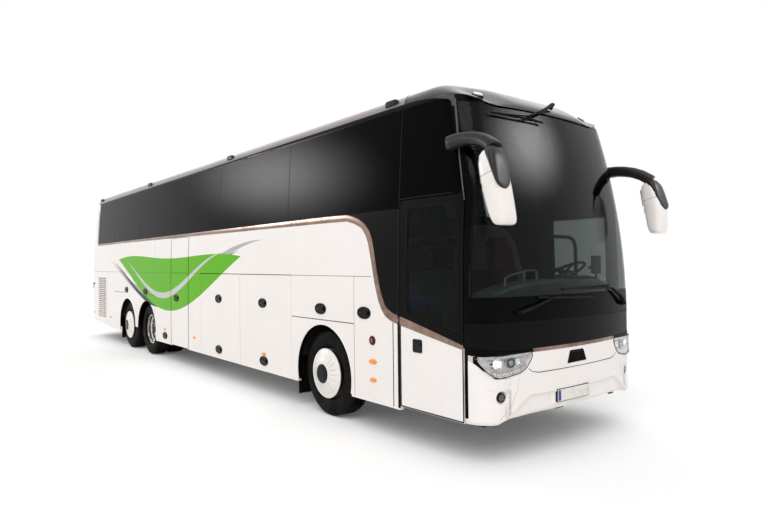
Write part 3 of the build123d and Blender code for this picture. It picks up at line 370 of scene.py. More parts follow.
@dataclass(frozen=True)
class Finish:
    """One finish, as values for the shared effects and the shader."""

    name: str
    light: Colour
    shade: Colour
    scale: float = 3.0
    roughness: Pair = (0.4, 0.5)
    metallic: float = 0.0
    specular: float = 0.5
    coat: float = 0.0
    texture: Effect | None = Effect.GRAIN
    texture_scale: float = 600.0
    bump: float = 0.0002
    dust: float = 0.0
    sheen: float = 0.0
    transmission: float = 0.0
    ior: float = 1.5
    shadow_tint: float = 0.5
    glow: float = 0.0

    def base(self, wire: Wire, effects: Effects, vector: Any) -> tuple[Any, Any]:
        """Give the colour and roughness mask before dust.

        Args:
            wire: The material's wire.
            effects: The shared effects.
            vector: Object coordinates.

        Returns:
            The colour and the mask.
        """
        clouds = wire.group(effects.tree(Effect.MOTTLE), vector=vector, scale=self.scale, light=self.light,
                            shade=self.shade)
        return clouds.outputs["Color"], clouds.outputs["Mask"]

    def build(self, effects: Effects) -> bpy.types.Material:
        """Make the material.

        Args:
            effects: The shared effects.

        Returns:
            The finished material.
        """
        material = bpy.data.materials.new(self.name)
        material.use_nodes = True
        tree = material.node_tree
        wire = Wire(tree)
        shader = tree.nodes["Principled BSDF"]
        vector = wire.node("ShaderNodeTexCoord").outputs["Object"]
        colour, mask = self.base(wire, effects, vector)
        if self.dust:
            dust = wire.group(effects.tree(Effect.ROAD_DUST), vector=vector, color=colour, amount=self.dust)
            colour = dust.outputs["Color"]
            mask = wire.math("MAXIMUM", mask, wire.math("MULTIPLY", dust.outputs["Mask"], 3.0), clamp=True)
        height = None
        if self.texture in (Effect.GRAIN, Effect.BRUSHED):
            height = wire.group(effects.tree(self.texture), vector=vector, scale=self.texture_scale).outputs["Height"]
        elif self.texture is Effect.WEAVE:
            cloth = wire.group(effects.tree(self.texture), vector=vector, threads=self.texture_scale)
            height = cloth.outputs["Height"]
            colour = wire.mix(cloth.outputs["Mask"], tuple(0.55 * part for part in self.shade), colour)
        if height is not None:
            bump = wire.node("ShaderNodeBump")
            bump.inputs["Strength"].default_value = 0.35
            bump.inputs["Distance"].default_value = self.bump
            wire.put(bump.inputs["Height"], height)
            wire.put(shader.inputs["Normal"], bump.outputs["Normal"])
        wire.put(shader.inputs["Base Color"], colour)
        wire.put(shader.inputs["Roughness"], wire.span(mask, 0.0, 1.0, *self.roughness))
        for label, value in (
            ("Metallic", self.metallic), ("Specular IOR Level", self.specular), ("Coat Weight", self.coat),
            ("Coat Roughness", 0.06), ("Sheen Weight", self.sheen), ("Transmission Weight", self.transmission),
            ("Emission Strength", self.glow), ("IOR", self.ior),
        ):
            shader.inputs[label].default_value = value
        if self.glow:
            wire.put(shader.inputs["Emission Color"], colour)
        if self.transmission:
            self._let_light_in(wire, shader)
        return material

    def _let_light_in(self, wire: Wire, shader: bpy.types.Node) -> None:
        """Let lamps shine through a pane, so that what is behind it is lit."""
        output = wire.tree.nodes["Material Output"]
        clear = wire.node("ShaderNodeBsdfTransparent")
        wire.put(clear.inputs[0], (self.shadow_tint,) * 3)
        blend = wire.node("ShaderNodeMixShader")
        wire.put(blend.inputs[0], wire.node("ShaderNodeLightPath").outputs["Is Shadow Ray"])
        wire.put(blend.inputs[1], shader.outputs[0])
        wire.put(blend.inputs[2], clear.outputs[0])
        wire.put(output.inputs["Surface"], blend.outputs[0])


@dataclass(frozen=True)
class Ribbon:
    """One painted ribbon of the side, from the front axle."""

    colour: Colour
    start: float
    end: float
    height: float
    rise: float
    phase: float
    width: float


# The side's painted ribbons, from the lowest to the uppermost layer.
RIBBONS = (
    Ribbon(linear(184, 179, 179), -9.35, -1.55, 1.70, 0.50, 2.60, 0.105),
    Ribbon(linear(56, 66, 56), -9.10, -2.30, 1.58, 0.50, 2.35, 0.060),
    Ribbon(linear(100, 180, 28), -8.75, -2.25, 1.75, 0.27, 2.05, 0.500),
    Ribbon(linear(205, 202, 200), -8.00, -2.90, 1.66, 0.40, 2.45, 0.055),
)

# Trim strip under the glass: front-axle distance and height of its upper and lower edge.
SWEEP = (
    (-10.600, 2.412, -10.600, 2.377), (-8.000, 2.412, -8.000, 2.368), (-4.000, 2.412, -4.000, 2.353),
    (0.100, 2.412, 0.100, 2.338), (0.496, 2.406, 0.494, 2.332), (0.620, 2.380, 0.640, 2.300),
    (0.727, 2.346, 0.782, 2.242), (0.840, 2.285, 0.860, 2.160), (0.927, 2.202, 0.907, 2.071),
    (0.982, 2.100, 0.950, 1.930), (1.012, 1.992, 0.991, 1.776), (1.060, 1.800, 1.035, 1.610),
    (1.110, 1.616, 1.089, 1.455), (1.155, 1.500, 1.140, 1.365), (1.208, 1.408, 1.206, 1.292),
    (1.245, 1.372, 1.290, 1.250), (1.290, 1.349, 1.350, 1.232), (1.350, 1.325, 1.401, 1.222),
    (1.436, 1.307, 1.436, 1.214),
)
REAR_TURN = (
    (-10.722, 3.300, -10.752, 3.300), (-10.722, 2.480, -10.752, 2.480), (-10.714, 2.440, -10.744, 2.420),
    (-10.698, 2.418, -10.716, 2.386), (-10.676, 2.412, -10.680, 2.375),
)
DOOR_SWEEP = ((1.448, 1.305, 1.448, 1.213), (1.900, 1.198, 1.900, 1.128), (2.334, 1.091, 2.334, 1.050))
CORNER_HEIGHT = 1.030


@dataclass(frozen=True)
class CoachPaint(Finish):
    """Body paint with the painted ribbons, and gloss black ahead of and above the trim strip."""

    origin: float = 0.0
    black: Colour = linear(16, 16, 17)

    def base(self, wire: Wire, effects: Effects, vector: Any) -> tuple[Any, Any]:
        """Give white paint, ribbons and the black surround of the glass."""
        colour, mask = super().base(wire, effects, vector)
        x, y, z = wire.parts(vector)
        step = wire.math("SUBTRACT", x, self.origin)
        flank = wire.math("GREATER_THAN", wire.math("ABSOLUTE", y), 1.15)
        for ribbon in RIBBONS:
            band = wire.group(
                effects.tree(Effect.RIBBON), x=step, z=z, start=ribbon.start, end=ribbon.end, height=ribbon.height,
                rise=ribbon.rise, phase=ribbon.phase, width=ribbon.width,
            )
            colour = wire.mix(wire.math("MULTIPLY", band.outputs["Mask"], flank), colour, ribbon.colour)
        above = wire.math("GREATER_THAN", z, self._strip_height(wire, step))
        return wire.mix(above, colour, self.black), mask

    @staticmethod
    def _strip_height(wire: Wire, step: Any) -> Any:
        """Give the height of the strip's middle at each place along the coach."""
        low, high, foot, head = 0.3, 2.5, 0.9, 2.5
        curve = wire.node("ShaderNodeFloatCurve")
        points = [((row[0] + row[2]) / 2, (row[1] + row[3]) / 2) for row in SWEEP + DOOR_SWEEP if row[0] > low]
        points = [(low, points[0][1])] + points + [(2.40, CORNER_HEIGHT), (high, CORNER_HEIGHT)]
        line = curve.mapping.curves[0]
        places = [((x - low) / (high - low), (z - foot) / (head - foot)) for x, z in points]
        line.points[0].location, line.points[1].location = places[0], places[-1]
        for place in places[1:-1]:
            line.points.new(*place)
        for point in line.points:
            point.handle_type = "VECTOR"
        curve.mapping.update()
        wire.put(curve.inputs["Value"], wire.math("DIVIDE", wire.math("SUBTRACT", step, low), high - low, clamp=True))
        return wire.math("ADD", wire.math("MULTIPLY", curve.outputs[0], head - foot), foot)


@dataclass(frozen=True)
class RoofPaint(Finish):
    """Grey-brown edge paint, white over the roof's flat top behind the nose, and a darker nose that is partly its own
    paint and partly painted shade.
    """

    origin: float = 0.0
    cap_start: float = 1.440
    edge_top: float = 3.618
    # darker grey-brown of the nose: its own paint, deepened as painted shade of the brow over the windscreen
    cap: Colour = linear(62, 56, 58)
    top: Colour = linear(243, 238, 235)

    def base(self, wire: Wire, effects: Effects, vector: Any) -> tuple[Any, Any]:
        """Give the edge's paint, the white top and the nose's darker colour, partly paint and partly painted shade of
        the brow.
        """
        colour, mask = super().base(wire, effects, vector)
        x, _, z = wire.parts(vector)
        colour = wire.mix(wire.math("GREATER_THAN", z, self.edge_top), colour, self.top)
        # painted shade: the whole nose ahead of cap_start takes the darker colour
        ahead = wire.math("GREATER_THAN", wire.math("SUBTRACT", x, self.origin), self.cap_start)
        return wire.mix(ahead, colour, self.cap), mask


FINISHES = (
    Finish("hatch_plastic", linear(214, 212, 208), linear(196, 194, 190), 4.0, (0.45, 0.6)),
    Finish("black_trim", linear(10, 10, 10), linear(17, 16, 16), 6.0, (0.10, 0.20), specular=0.02, texture=None),
    Finish("lamp_housing", linear(222, 214, 208), linear(186, 176, 170), 22.0, (0.12, 0.22), metallic=0.35,
           texture=None),
    Finish("plate_stripe", linear(40, 66, 150), linear(34, 58, 138), 12.0, (0.4, 0.5), texture_scale=700.0),
    Finish("satin_black", linear(11, 11, 12), linear(20, 19, 20), 9.0, (0.30, 0.45), specular=0.20, bump=0.0003),
    Finish("rubber", linear(8, 8, 8), linear(15, 14, 14), 12.0, (0.5, 0.7), specular=0.08, texture_scale=900.0),
    Finish("seam", linear(120, 114, 112), linear(96, 90, 88), 12.0, (0.5, 0.7), specular=0.2, texture=None),
    Finish("soft_seam", linear(196, 188, 182), linear(184, 176, 170), 12.0, (0.4, 0.6), specular=0.1, texture=None),
    Finish("tyre_rubber", linear(7, 6, 6), linear(13, 12, 11), 9.0, (0.50, 0.72), specular=0.06, bump=0.0006,
           texture_scale=420.0, dust=0.05),
    Finish("cab_glass", linear(150, 156, 158), linear(140, 146, 148), 1.2, (0.0, 0.03), specular=0.2, texture=None,
           transmission=1.0, ior=1.1, shadow_tint=0.45),
    Finish("tinted_glass", linear(30, 31, 32), linear(22, 23, 24), 0.8, (0.0, 0.04), specular=0.035, texture=None,
           transmission=1.0, ior=1.10, shadow_tint=0.10),
    Finish("tinted_head", linear(22, 22, 23), linear(16, 16, 17), 0.8, (0.05, 0.1), specular=0.035, texture=None),
    Finish("door_glass", linear(150, 160, 160), linear(138, 148, 148), 1.2, (0.0, 0.03), specular=0.05, texture=None,
           transmission=1.0, ior=1.14, shadow_tint=0.6),
    Finish("lamp_lens", linear(246, 248, 250), linear(236, 240, 242), 5.0, (0.0, 0.04), texture=None,
           transmission=1.0, shadow_tint=0.9),
    Finish("chrome", linear(222, 220, 216), linear(188, 182, 174), 14.0, (0.06, 0.14), metallic=1.0, texture=None),
    Finish("steel_strip", linear(158, 134, 121), linear(108, 88, 79), 1.6, (0.10, 0.24), metallic=1.0,
           texture=Effect.BRUSHED, texture_scale=30.0),
    Finish("polished_rim", linear(214, 212, 210), linear(176, 172, 168), 9.0, (0.10, 0.26), metallic=1.0,
           texture=Effect.BRUSHED, texture_scale=60.0),
    Finish("rim_steel", linear(112, 112, 112), linear(84, 82, 80), 8.0, (0.4, 0.6), metallic=0.6, dust=0.3),
    Finish("wheel_cover", linear(241, 236, 232), linear(230, 223, 218), 6.0, (0.22, 0.36), coat=0.2, dust=0.04,
           texture_scale=900.0, bump=0.0001),
    Finish("mirror_shell", linear(242, 236, 232), linear(234, 227, 222), 5.0, (0.16, 0.28), coat=0.4, texture=None),
    Finish("mirror_arm", linear(30, 27, 28), linear(38, 35, 36), 7.0, (0.30, 0.40), specular=0.25, texture=None),
    Finish("post_trim", linear(84, 76, 76), linear(70, 63, 63), 5.0, (0.2, 0.3), specular=0.3, texture=None),
    Finish("cap_black", linear(9, 9, 9), linear(15, 15, 15), 9.0, (0.10, 0.20), specular=0.12, texture=None),
    Finish("screen_black", linear(7, 7, 7), linear(12, 11, 11), 3.0, (0.06, 0.12), specular=0.03, texture=None),
    Finish("screen_glass", linear(138, 146, 142), linear(128, 136, 132), 1.2, (0.0, 0.02), specular=0.07, texture=None,
           transmission=1.0, ior=1.18, shadow_tint=0.6),
    Finish("mirror_glass", linear(150, 156, 160), linear(140, 146, 150), 2.0, (0.02, 0.06), metallic=1.0,
           texture=None),
    Finish("amber_lens", linear(252, 150, 6), linear(240, 104, 0), 26.0, (0.1, 0.2), coat=0.3, texture=None,
           glow=0.06),
    Finish("red_lens", linear(178, 16, 20), linear(138, 10, 14), 25.0, (0.1, 0.2), coat=0.6, texture=None, glow=0.08),
    Finish("white_lens", linear(236, 238, 240), linear(214, 218, 222), 20.0, (0.08, 0.2), coat=0.5, texture=None,
           glow=0.1),
    Finish("reflector", linear(226, 228, 230), linear(190, 194, 198), 18.0, (0.04, 0.12), metallic=1.0,
           texture=None),
    Finish("lit_lamp", linear(255, 250, 238), linear(255, 244, 226), 12.0, (0.1, 0.2), texture=None, glow=1.2),
    Finish("plate_white", linear(232, 230, 224), linear(218, 214, 206), 10.0, (0.35, 0.5), texture_scale=700.0),
    Finish("frame_steel", linear(52, 52, 54), linear(70, 69, 70), 8.0, (0.36, 0.55), metallic=0.4),
    Finish("floor_vinyl", linear(74, 74, 78), linear(58, 58, 62), 160.0, (0.5, 0.7), texture_scale=300.0),
    Finish("hold_metal", linear(150, 150, 150), linear(128, 127, 125), 5.0, (0.35, 0.55), metallic=0.7,
           texture=Effect.BRUSHED, texture_scale=25.0),
    Finish("chassis_paint", linear(36, 36, 36), linear(52, 49, 46), 6.0, (0.6, 0.85), specular=0.3, dust=0.5),
    Finish("engine_metal", linear(92, 94, 94), linear(68, 66, 63), 7.0, (0.5, 0.75), metallic=0.5, bump=0.001,
           texture_scale=150.0),
    Finish("seat_fabric", linear(44, 50, 78), linear(33, 37, 60), 22.0, (0.8, 0.95), specular=0.2, sheen=0.3,
           texture=Effect.WEAVE, texture_scale=1400.0, bump=0.0008),
    Finish("driver_fabric", linear(104, 22, 30), linear(78, 15, 22), 18.0, (0.8, 0.95), specular=0.2, sheen=0.3,
           texture=Effect.WEAVE, texture_scale=1300.0, bump=0.0008),
    Finish("guide_fabric", linear(52, 72, 136), linear(36, 52, 104), 18.0, (0.8, 0.95), specular=0.2, sheen=0.3,
           texture=Effect.WEAVE, texture_scale=1300.0, bump=0.0008),
    Finish("dash_plastic", linear(128, 140, 134), linear(108, 120, 114), 5.0, (0.5, 0.66), texture_scale=420.0,
           bump=0.0005),
    Finish("wheel_plastic", linear(22, 22, 23), linear(32, 31, 32), 12.0, (0.42, 0.6), texture_scale=800.0,
           bump=0.0004),
)


class Finishes:
    """Makes each finish once and hands it out by name."""

    def __init__(self, lines: Lines) -> None:
        """Keep the table of finishes.

        Args:
            lines: The coach's main lines, which place the painted pattern.
        """
        white, shade = linear(243, 238, 235), linear(240, 234, 230)
        gloss = {"scale": 0.6, "roughness": (0.18, 0.24), "specular": 0.04, "texture": None}
        roof = {**gloss, "specular": 0.25}
        paints = (
            CoachPaint("body_paint", white, shade, dust=0.03, origin=lines.front, **gloss),
            RoofPaint("roof_paint_with_nose_shade", linear(136, 126, 128), linear(126, 116, 118), origin=lines.front, **roof),
            Finish("white_paint", white, shade, dust=0.03, **gloss),
        )
        self._table = {finish.name: finish for finish in (*FINISHES, *paints)}
        self._effects = Effects()
        self._made: dict[str, bpy.types.Material] = {}

    def __getitem__(self, name: str) -> bpy.types.Material:
        """Return the material of a finish, building it the first time."""
        if name not in self._made:
            self._made[name] = self._table[name].build(self._effects)
        return self._made[name]


# ---- Meshes -------------------------------------------------------------------


class Form:
    """Gathers points and faces of one piece and turns them into an object."""

    def __init__(self) -> None:
        """Start empty."""
        self.points: list[Vector] = []
        self.faces: list[tuple[int, ...]] = []

    def grid(self, rows: Sequence[Sequence[Vector]], around: bool = True, closed: bool = False) -> Form:
        """Add a skin over rows of points.

        Args:
            rows: Rows with the same number of points.
            around: Whether each row closes on itself.
            closed: Whether the last row meets the first. Otherwise both end rows are closed.

        Returns:
            This form.
        """
        first, width = len(self.points), len(rows[0])
        for row in rows:
            self.points.extend(Vector(point) for point in row)
        for r in range(len(rows) if closed else len(rows) - 1):
            low, high = first + r * width, first + (r + 1) % len(rows) * width
            for c in range(width if around else width - 1):
                step = (c + 1) % width
                self.faces.append((low + c, low + step, high + step, high + c))
        if around and not closed:
            self.faces.append(tuple(range(first + width - 1, first - 1, -1)))
            last = first + (len(rows) - 1) * width
            self.faces.append(tuple(range(last, last + width)))
        return self

    def join(self, *others: Form) -> Form:
        """Take in the points and faces of other forms."""
        for other in others:
            first = len(self.points)
            self.points.extend(other.points)
            self.faces.extend(tuple(first + index for index in face) for face in other.faces)
        return self

    def shell(self, front: Sequence[Sequence[Vector]], back: Sequence[Sequence[Vector]]) -> Form:
        """Add a thin closed shell between two matching patches of points."""
        first = len(self.points)
        self.grid(front, around=False)
        shift = len(self.points) - first
        self.grid(back, around=False)
        rows, width = len(front), len(front[0])
        rim = list(range(width)) + [r * width + width - 1 for r in range(1, rows)]
        rim += [(rows - 1) * width + c for c in range(width - 2, -1, -1)] + [r * width for r in range(rows - 2, 0, -1)]
        for a, b in zip(rim, rim[1:] + rim[:1]):
            self.faces.append((first + a, first + b, first + b + shift, first + a + shift))
        return self

    def box(self, low: Sequence[float], high: Sequence[float]) -> Form:
        """Add a plain box between two corners."""
        rows = [
            [(x, low[1], low[2]), (x, high[1], low[2]), (x, high[1], high[2]), (x, low[1], high[2])]
            for x in (low[0], high[0])
        ]
        return self.grid(rows)

    def tube(self, path: Sequence[Vector], radius: float | Sequence[float], sides: int = 10, flat: float = 1.0,
             closed: bool = False) -> Form:
        """Add a tube along a path.

        Args:
            path: The points of its middle line.
            radius: One radius, or one for each point.
            sides: Points round the tube.
            flat: Height of the section as a share of its width.
            closed: Whether the path is a loop.

        Returns:
            This form.
        """
        path = [Vector(point) for point in path]
        radii = [radius] * len(path) if isinstance(radius, float) else radius
        rows = []
        normal = None
        for index, point in enumerate(path):
            ahead = path[(index + 1) % len(path)] if closed or index + 1 < len(path) else point
            behind = path[index - 1] if closed or index else point
            along = (ahead - behind).normalized()
            if normal is None:
                normal = along.orthogonal().normalized() if abs(along.z) > 0.95 else along.cross(Vector((0, 0, 1)))
            normal = (normal - along * normal.dot(along)).normalized()
            other = along.cross(normal)
            rows.append([
                point + radii[index] * (math.cos(turn) * normal + flat * math.sin(turn) * other)
                for turn in (2 * math.pi * k / sides for k in range(sides))
            ])
        return self.grid(rows, closed=closed)

    def lathe(self, profile: Sequence[Pair], centre: Vector, side: int, segments: int = 96, closed: bool = False,
              wave: Callable[[int, int], float] | None = None) -> Form:
        """Turn a profile round an axle.

        Args:
            profile: Distance outwards along the axle and radius of each point.
            centre: A point of the axle.
            side: RIGHT or LEFT, the way outwards.
            segments: Steps round the axle.
            closed: Whether the profile is a loop.
            wave: Change of the outward distance at a profile point and a step round the axle.

        Returns:
            This form.
        """
        rows = []
        for index, (out, radius) in enumerate(profile):
            row = []
            for step in range(segments):
                turn = 2 * math.pi * step / segments
                shift = out + (wave(index, step) if wave else 0.0)
                row.append(centre + Vector((radius * math.cos(turn), side * shift, radius * math.sin(turn))))
            rows.append(row)
        return self.grid(rows, closed=closed)

    def finish(self, name: str, material: bpy.types.Material, angle: float = SMOOTH_ANGLE) -> bpy.types.Object:
        """Make the object, with doubles merged and faces pointing outwards.

        Args:
            name: The piece's name.
            material: Its material.
            angle: Edges sharper than this stay sharp, in degrees.

        Returns:
            The object.
        """
        mesh = bpy.data.meshes.new(name)
        mesh.from_pydata([tuple(point) for point in self.points], [], self.faces)
        shape = bmesh.new()
        shape.from_mesh(mesh)
        bmesh.ops.remove_doubles(shape, verts=shape.verts, dist=1e-5)
        bmesh.ops.dissolve_degenerate(shape, edges=shape.edges, dist=1e-6)
        bmesh.ops.recalc_face_normals(shape, faces=shape.faces)
        shape.to_mesh(mesh)
        shape.free()
        mesh.polygons.foreach_set("use_smooth", [True] * len(mesh.polygons))
        mesh.set_sharp_from_angle(angle=math.radians(angle))
        mesh.materials.append(material)
        piece = bpy.data.objects.new(name, mesh)
        bpy.context.scene.collection.objects.link(piece)
        return piece


def moved(base: float, *spots: Pair) -> list[Pair]:
    """Move the first value of each pair by a base value, as for a section on an axle."""
    return [(base + step, radius) for step, radius in spots]


def settle(piece: bpy.types.Object, body: str, slot: str | None = None, nodes: Sequence[str] = ()) -> bpy.types.Object:
    """Let a piece ride on its body, hide the nodes it stands for, and report it.

    Args:
        piece: The finished object.
        body: The body it moves with.
        slot: The record's material slot, where it has one. Not used.
        nodes: CAD nodes that it replaces.

    Returns:
        The piece.
    """
    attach(piece, body)
    if nodes:
        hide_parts(*nodes)
    LOG.info("%s on %s: %d faces", piece.name, body, len(piece.data.polygons))
    return piece


class Repeats:
    """Geometry Nodes trees that repeat a piece along a line or round an axle."""

    def __init__(self) -> None:
        """Build both trees."""
        self.row = self._tree("row_of_pieces", ring=False)
        self.ring = self._tree("ring_of_pieces", ring=True)

    @staticmethod
    def _tree(name: str, ring: bool) -> bpy.types.NodeTree:
        """Build one tree.

        Args:
            name: The tree's name.
            ring: Whether it turns the piece round a centre rather than moving it along a line.

        Returns:
            The tree, whose inputs are Piece, Count, Step or Centre and Axis, and Material.
        """
        tree = bpy.data.node_groups.new(name, "GeometryNodeTree")
        face = tree.interface
        face.new_socket(name="Piece", in_out="INPUT", socket_type="NodeSocketGeometry")
        face.new_socket(name="Count", in_out="INPUT", socket_type="NodeSocketInt").default_value = 4
        for label in ("Centre", "Axis") if ring else ("Step",):
            face.new_socket(name=label, in_out="INPUT", socket_type="NodeSocketVector")
        face.new_socket(name="Material", in_out="INPUT", socket_type="NodeSocketMaterial")
        face.new_socket(name="Pieces", in_out="OUTPUT", socket_type="NodeSocketGeometry")
        add, link = tree.nodes.new, tree.links.new
        given, out = add("NodeGroupInput").outputs, add("NodeGroupOutput").inputs
        line = add("GeometryNodeMeshLine")
        link(given["Count"], line.inputs["Count"])
        place = add("GeometryNodeInstanceOnPoints")
        link(line.outputs["Mesh"], place.inputs["Points"])
        real = add("GeometryNodeRealizeInstances")
        link(place.outputs["Instances"], real.inputs[0])
        result = real.outputs[0]
        if ring:
            line.inputs["Offset"].default_value = (0, 0, 0)
            back = add("ShaderNodeVectorMath")
            back.operation = "SCALE"
            back.inputs["Scale"].default_value = -1.0
            link(given["Centre"], back.inputs[0])
            home = add("GeometryNodeTransform")
            link(given["Piece"], home.inputs["Geometry"])
            link(back.outputs[0], home.inputs["Translation"])
            link(home.outputs[0], place.inputs["Instance"])
            angle = add("ShaderNodeMath")
            angle.operation = "DIVIDE"
            angle.inputs[0].default_value = 2 * math.pi
            link(given["Count"], angle.inputs[1])
            each = add("ShaderNodeMath")
            each.operation = "MULTIPLY"
            link(add("GeometryNodeInputIndex").outputs[0], each.inputs[0])
            link(angle.outputs[0], each.inputs[1])
            turn = add("FunctionNodeAxisAngleToRotation")
            link(given["Axis"], turn.inputs["Axis"])
            link(each.outputs[0], turn.inputs["Angle"])
            link(turn.outputs[0], place.inputs["Rotation"])
            move = add("GeometryNodeTransform")
            link(result, move.inputs["Geometry"])
            link(given["Centre"], move.inputs["Translation"])
            result = move.outputs[0]
        else:
            link(given["Step"], line.inputs["Offset"])
            link(given["Piece"], place.inputs["Instance"])
        dress = add("GeometryNodeSetMaterial")
        link(result, dress.inputs["Geometry"])
        link(given["Material"], dress.inputs["Material"])
        link(dress.outputs[0], out[0])
        return tree

    @staticmethod
    def apply(piece: bpy.types.Object, tree: bpy.types.NodeTree, **values: Any) -> bpy.types.Object:
        """Repeat a piece with one tree and turn the result into a plain mesh.

        Args:
            piece: The piece at its first place.
            tree: The tree to use.
            **values: The tree's inputs by name.

        Returns:
            The same object with the repeated mesh.
        """
        modifier = piece.modifiers.new("repeat", "NODES")
        modifier.node_group = tree
        for item in tree.interface.items_tree:
            if item.in_out == "INPUT" and item.name in values:
                modifier[item.identifier] = values[item.name]
        view = bpy.context.evaluated_depsgraph_get()
        mesh = bpy.data.meshes.new_from_object(piece.evaluated_get(view))
        piece.modifiers.remove(modifier)
        piece.data = mesh
        return piece


class Skin:
    """The coach's outer faces, on which trim and fittings are set."""

    NODES = (
        "side_wall_right", "side_wall_left", "luggage_flap_right_1", "luggage_flap_right_2", "luggage_flap_left_1",
        "luggage_flap_left_2", "mid_door", "front_door", "front_door_glass", "side_glass_right", "side_glass_left",
        "cab_window", "front_frame", "windscreen", "front_panel", "front_bumper", "headlamps", "rear_wall",
        "rear_window", "engine_door", "tail_lamps", "roof",
    )
    PROBES = ((0.0, 0.0), (0.014, 0.0), (-0.014, 0.0), (0.0, 0.016), (0.0, -0.016), (0.03, 0.02), (-0.03, -0.02))

    def __init__(self, lines: Lines, nodes: dict[str, bpy.types.Object]) -> None:
        """Gather the outer nodes' faces.

        Args:
            lines: The coach's main lines.
            nodes: The CAD nodes.
        """
        self.lines = lines
        points: list[Vector] = []
        faces: list[tuple[int, ...]] = []
        for name in self.NODES:
            mesh = nodes[name].data
            first = len(points)
            points.extend(vertex.co.copy() for vertex in mesh.vertices)
            faces.extend(tuple(first + index for index in polygon.vertices) for polygon in mesh.polygons)
        self._tree = BVHTree.FromPolygons(points, faces)

    def _cast(self, start: Vector, way: Vector, spread: tuple[Vector, Vector]) -> tuple[Vector, Vector]:
        """Find the outer face along a line, looking past shut lines.

        Args:
            start: A point outside the coach.
            way: The direction inwards.
            spread: Two directions across the line for the probes.

        Returns:
            The point and the outward normal.
        """
        hits = []
        for first, second in self.PROBES:
            shift = spread[0] * first + spread[1] * second
            point, normal, _, distance = self._tree.ray_cast(start + shift, way, 20.0)
            if point is not None:
                hits.append((distance, point - shift, normal))
        if not hits:
            raise ValueError(f"no outer face at {start}")
        nearest = min(hits, key=lambda hit: hit[0])
        _, point, normal = hits[0] if hits[0][0] < nearest[0] + 0.01 else nearest
        return point, (normal if normal.dot(way) < 0 else -normal)

    def side(self, step: float, z: float, side: int) -> tuple[Vector, Vector]:
        """Point and outward normal of the side, at a distance from the front axle and a height."""
        start = Vector((self.lines.x(step), side * 4.0, z))
        return self._cast(start, Vector((0, -side, 0)), (Vector((1, 0, 0)), Vector((0, 0, 1))))

    def front(self, y: float, z: float) -> tuple[Vector, Vector]:
        """Point and outward normal of the front."""
        return self._cast(Vector((12.0, y, z)), Vector((-1, 0, 0)), (Vector((0, 1, 0)), Vector((0, 0, 1))))

    def rear(self, y: float, z: float) -> tuple[Vector, Vector]:
        """Point and outward normal of the rear."""
        return self._cast(Vector((-12.0, y, z)), Vector((1, 0, 0)), (Vector((0, 1, 0)), Vector((0, 0, 1))))

    def top(self, step: float, y: float) -> tuple[Vector, Vector]:
        """Point and outward normal of the roof."""
        start = Vector((self.lines.x(step), y, 6.0))
        return self._cast(start, Vector((0, 0, -1)), (Vector((1, 0, 0)), Vector((0, 1, 0))))

    def wrap(self, turn: float, z: float, side: int) -> tuple[Vector, Vector]:
        """Point and outward normal along the way round a front corner.

        Args:
            turn: 0 at the door's front edge, 1 where the corner meets the front, 2 at the middle.
            z: The height.
            side: RIGHT or LEFT.

        Returns:
            The point and the outward normal.
        """
        if turn >= 1.0:
            return self.front(side * 1.02 * (2.0 - turn), z)
        nose = self.front(0.0, max(z, 0.5))[0].x
        hub = Vector((nose - 0.36, side * 0.95, z))
        angle = turn * math.pi / 2
        way = Vector((math.sin(angle), side * math.cos(angle), 0))
        across = Vector((way.y, -way.x, 0))
        return self._cast(hub + 3 * way, -way, (across, Vector((0, 0, 1))))


def refine(rows: Sequence[Sequence[float]], step: float) -> list[tuple[float, ...]]:
    """Add rows between given ones, so that no stretch is longer than a step."""
    result: list[tuple[float, ...]] = []
    for row, following in zip(rows, rows[1:]):
        length = max(math.dist(row[:2], following[:2]), math.dist(row[-2:], following[-2:]))
        count = max(1, math.ceil(length / step))
        result.extend(tuple(a + (b - a) * k / count for a, b in zip(row, following)) for k in range(count))
    return result + [tuple(rows[-1])]


def widen(points: Sequence[Pair], width: float) -> list[tuple[float, ...]]:
    """Turn a line into rows of two edges, a width apart."""
    rows = []
    for index, (u, v) in enumerate(points):
        ahead, behind = points[min(index + 1, len(points) - 1)], points[max(index - 1, 0)]
        du, dv = ahead[0] - behind[0], ahead[1] - behind[1]
        scale = width / 2 / (math.hypot(du, dv) or 1.0)
        rows.append((u - dv * scale, v + du * scale, u + dv * scale, v - du * scale))
    return rows


def band(place: Place, rows: Sequence[Sequence[float]], height: float, step: float = 0.25) -> Form:
    """A strip with a crowned section that follows an outer face.

    Args:
        place: Gives the point and normal of the face at two coordinates.
        rows: Upper and lower edge of the strip along its run.
        height: How far it stands proud. Its back lies BAND_SINK inside the face.
        step: The longest stretch between two rows.

    Returns:
        The closed form.
    """
    form = Form()
    rings = []
    for row in refine(rows, step):
        ring = []
        for share, lift in ((0.0, -BAND_SINK), (0.0, 0.4 * height), (0.2, 0.95 * height), (0.5, height),
                            (0.8, 0.95 * height), (1.0, 0.4 * height), (1.0, -BAND_SINK)):
            u = row[0] + (row[2] - row[0]) * share
            v = row[1] + (row[3] - row[1]) * share
            point, normal = place(u, v)
            ring.append(point + normal * lift)
        rings.append(ring)
    return form.grid(rings)


def rounded(half_wide: float, half_high: float, corner: float, steps: int = 5) -> list[Pair]:
    """Outline of a rectangle with round corners, about its centre."""
    outline = []
    for quarter in range(4):
        sign_u = (1, -1, -1, 1)[quarter]
        sign_v = (1, 1, -1, -1)[quarter]
        for step in range(steps + 1):
            turn = math.pi / 2 * (quarter + step / steps)
            outline.append((sign_u * (half_wide - corner) + corner * math.cos(turn),
                            sign_v * (half_high - corner) + corner * math.sin(turn)))
    return outline


def oblong(count: int, power: float = 2.8) -> list[Pair]:
    """Points of a rounded oblong of half size one: 2 is a circle, more is squarer."""
    points = []
    for k in range(count):
        c, s = math.cos(2 * math.pi * k / count), math.sin(2 * math.pi * k / count)
        points.append((math.copysign(abs(c) ** (2 / power), c), math.copysign(abs(s) ** (2 / power), s)))
    return points


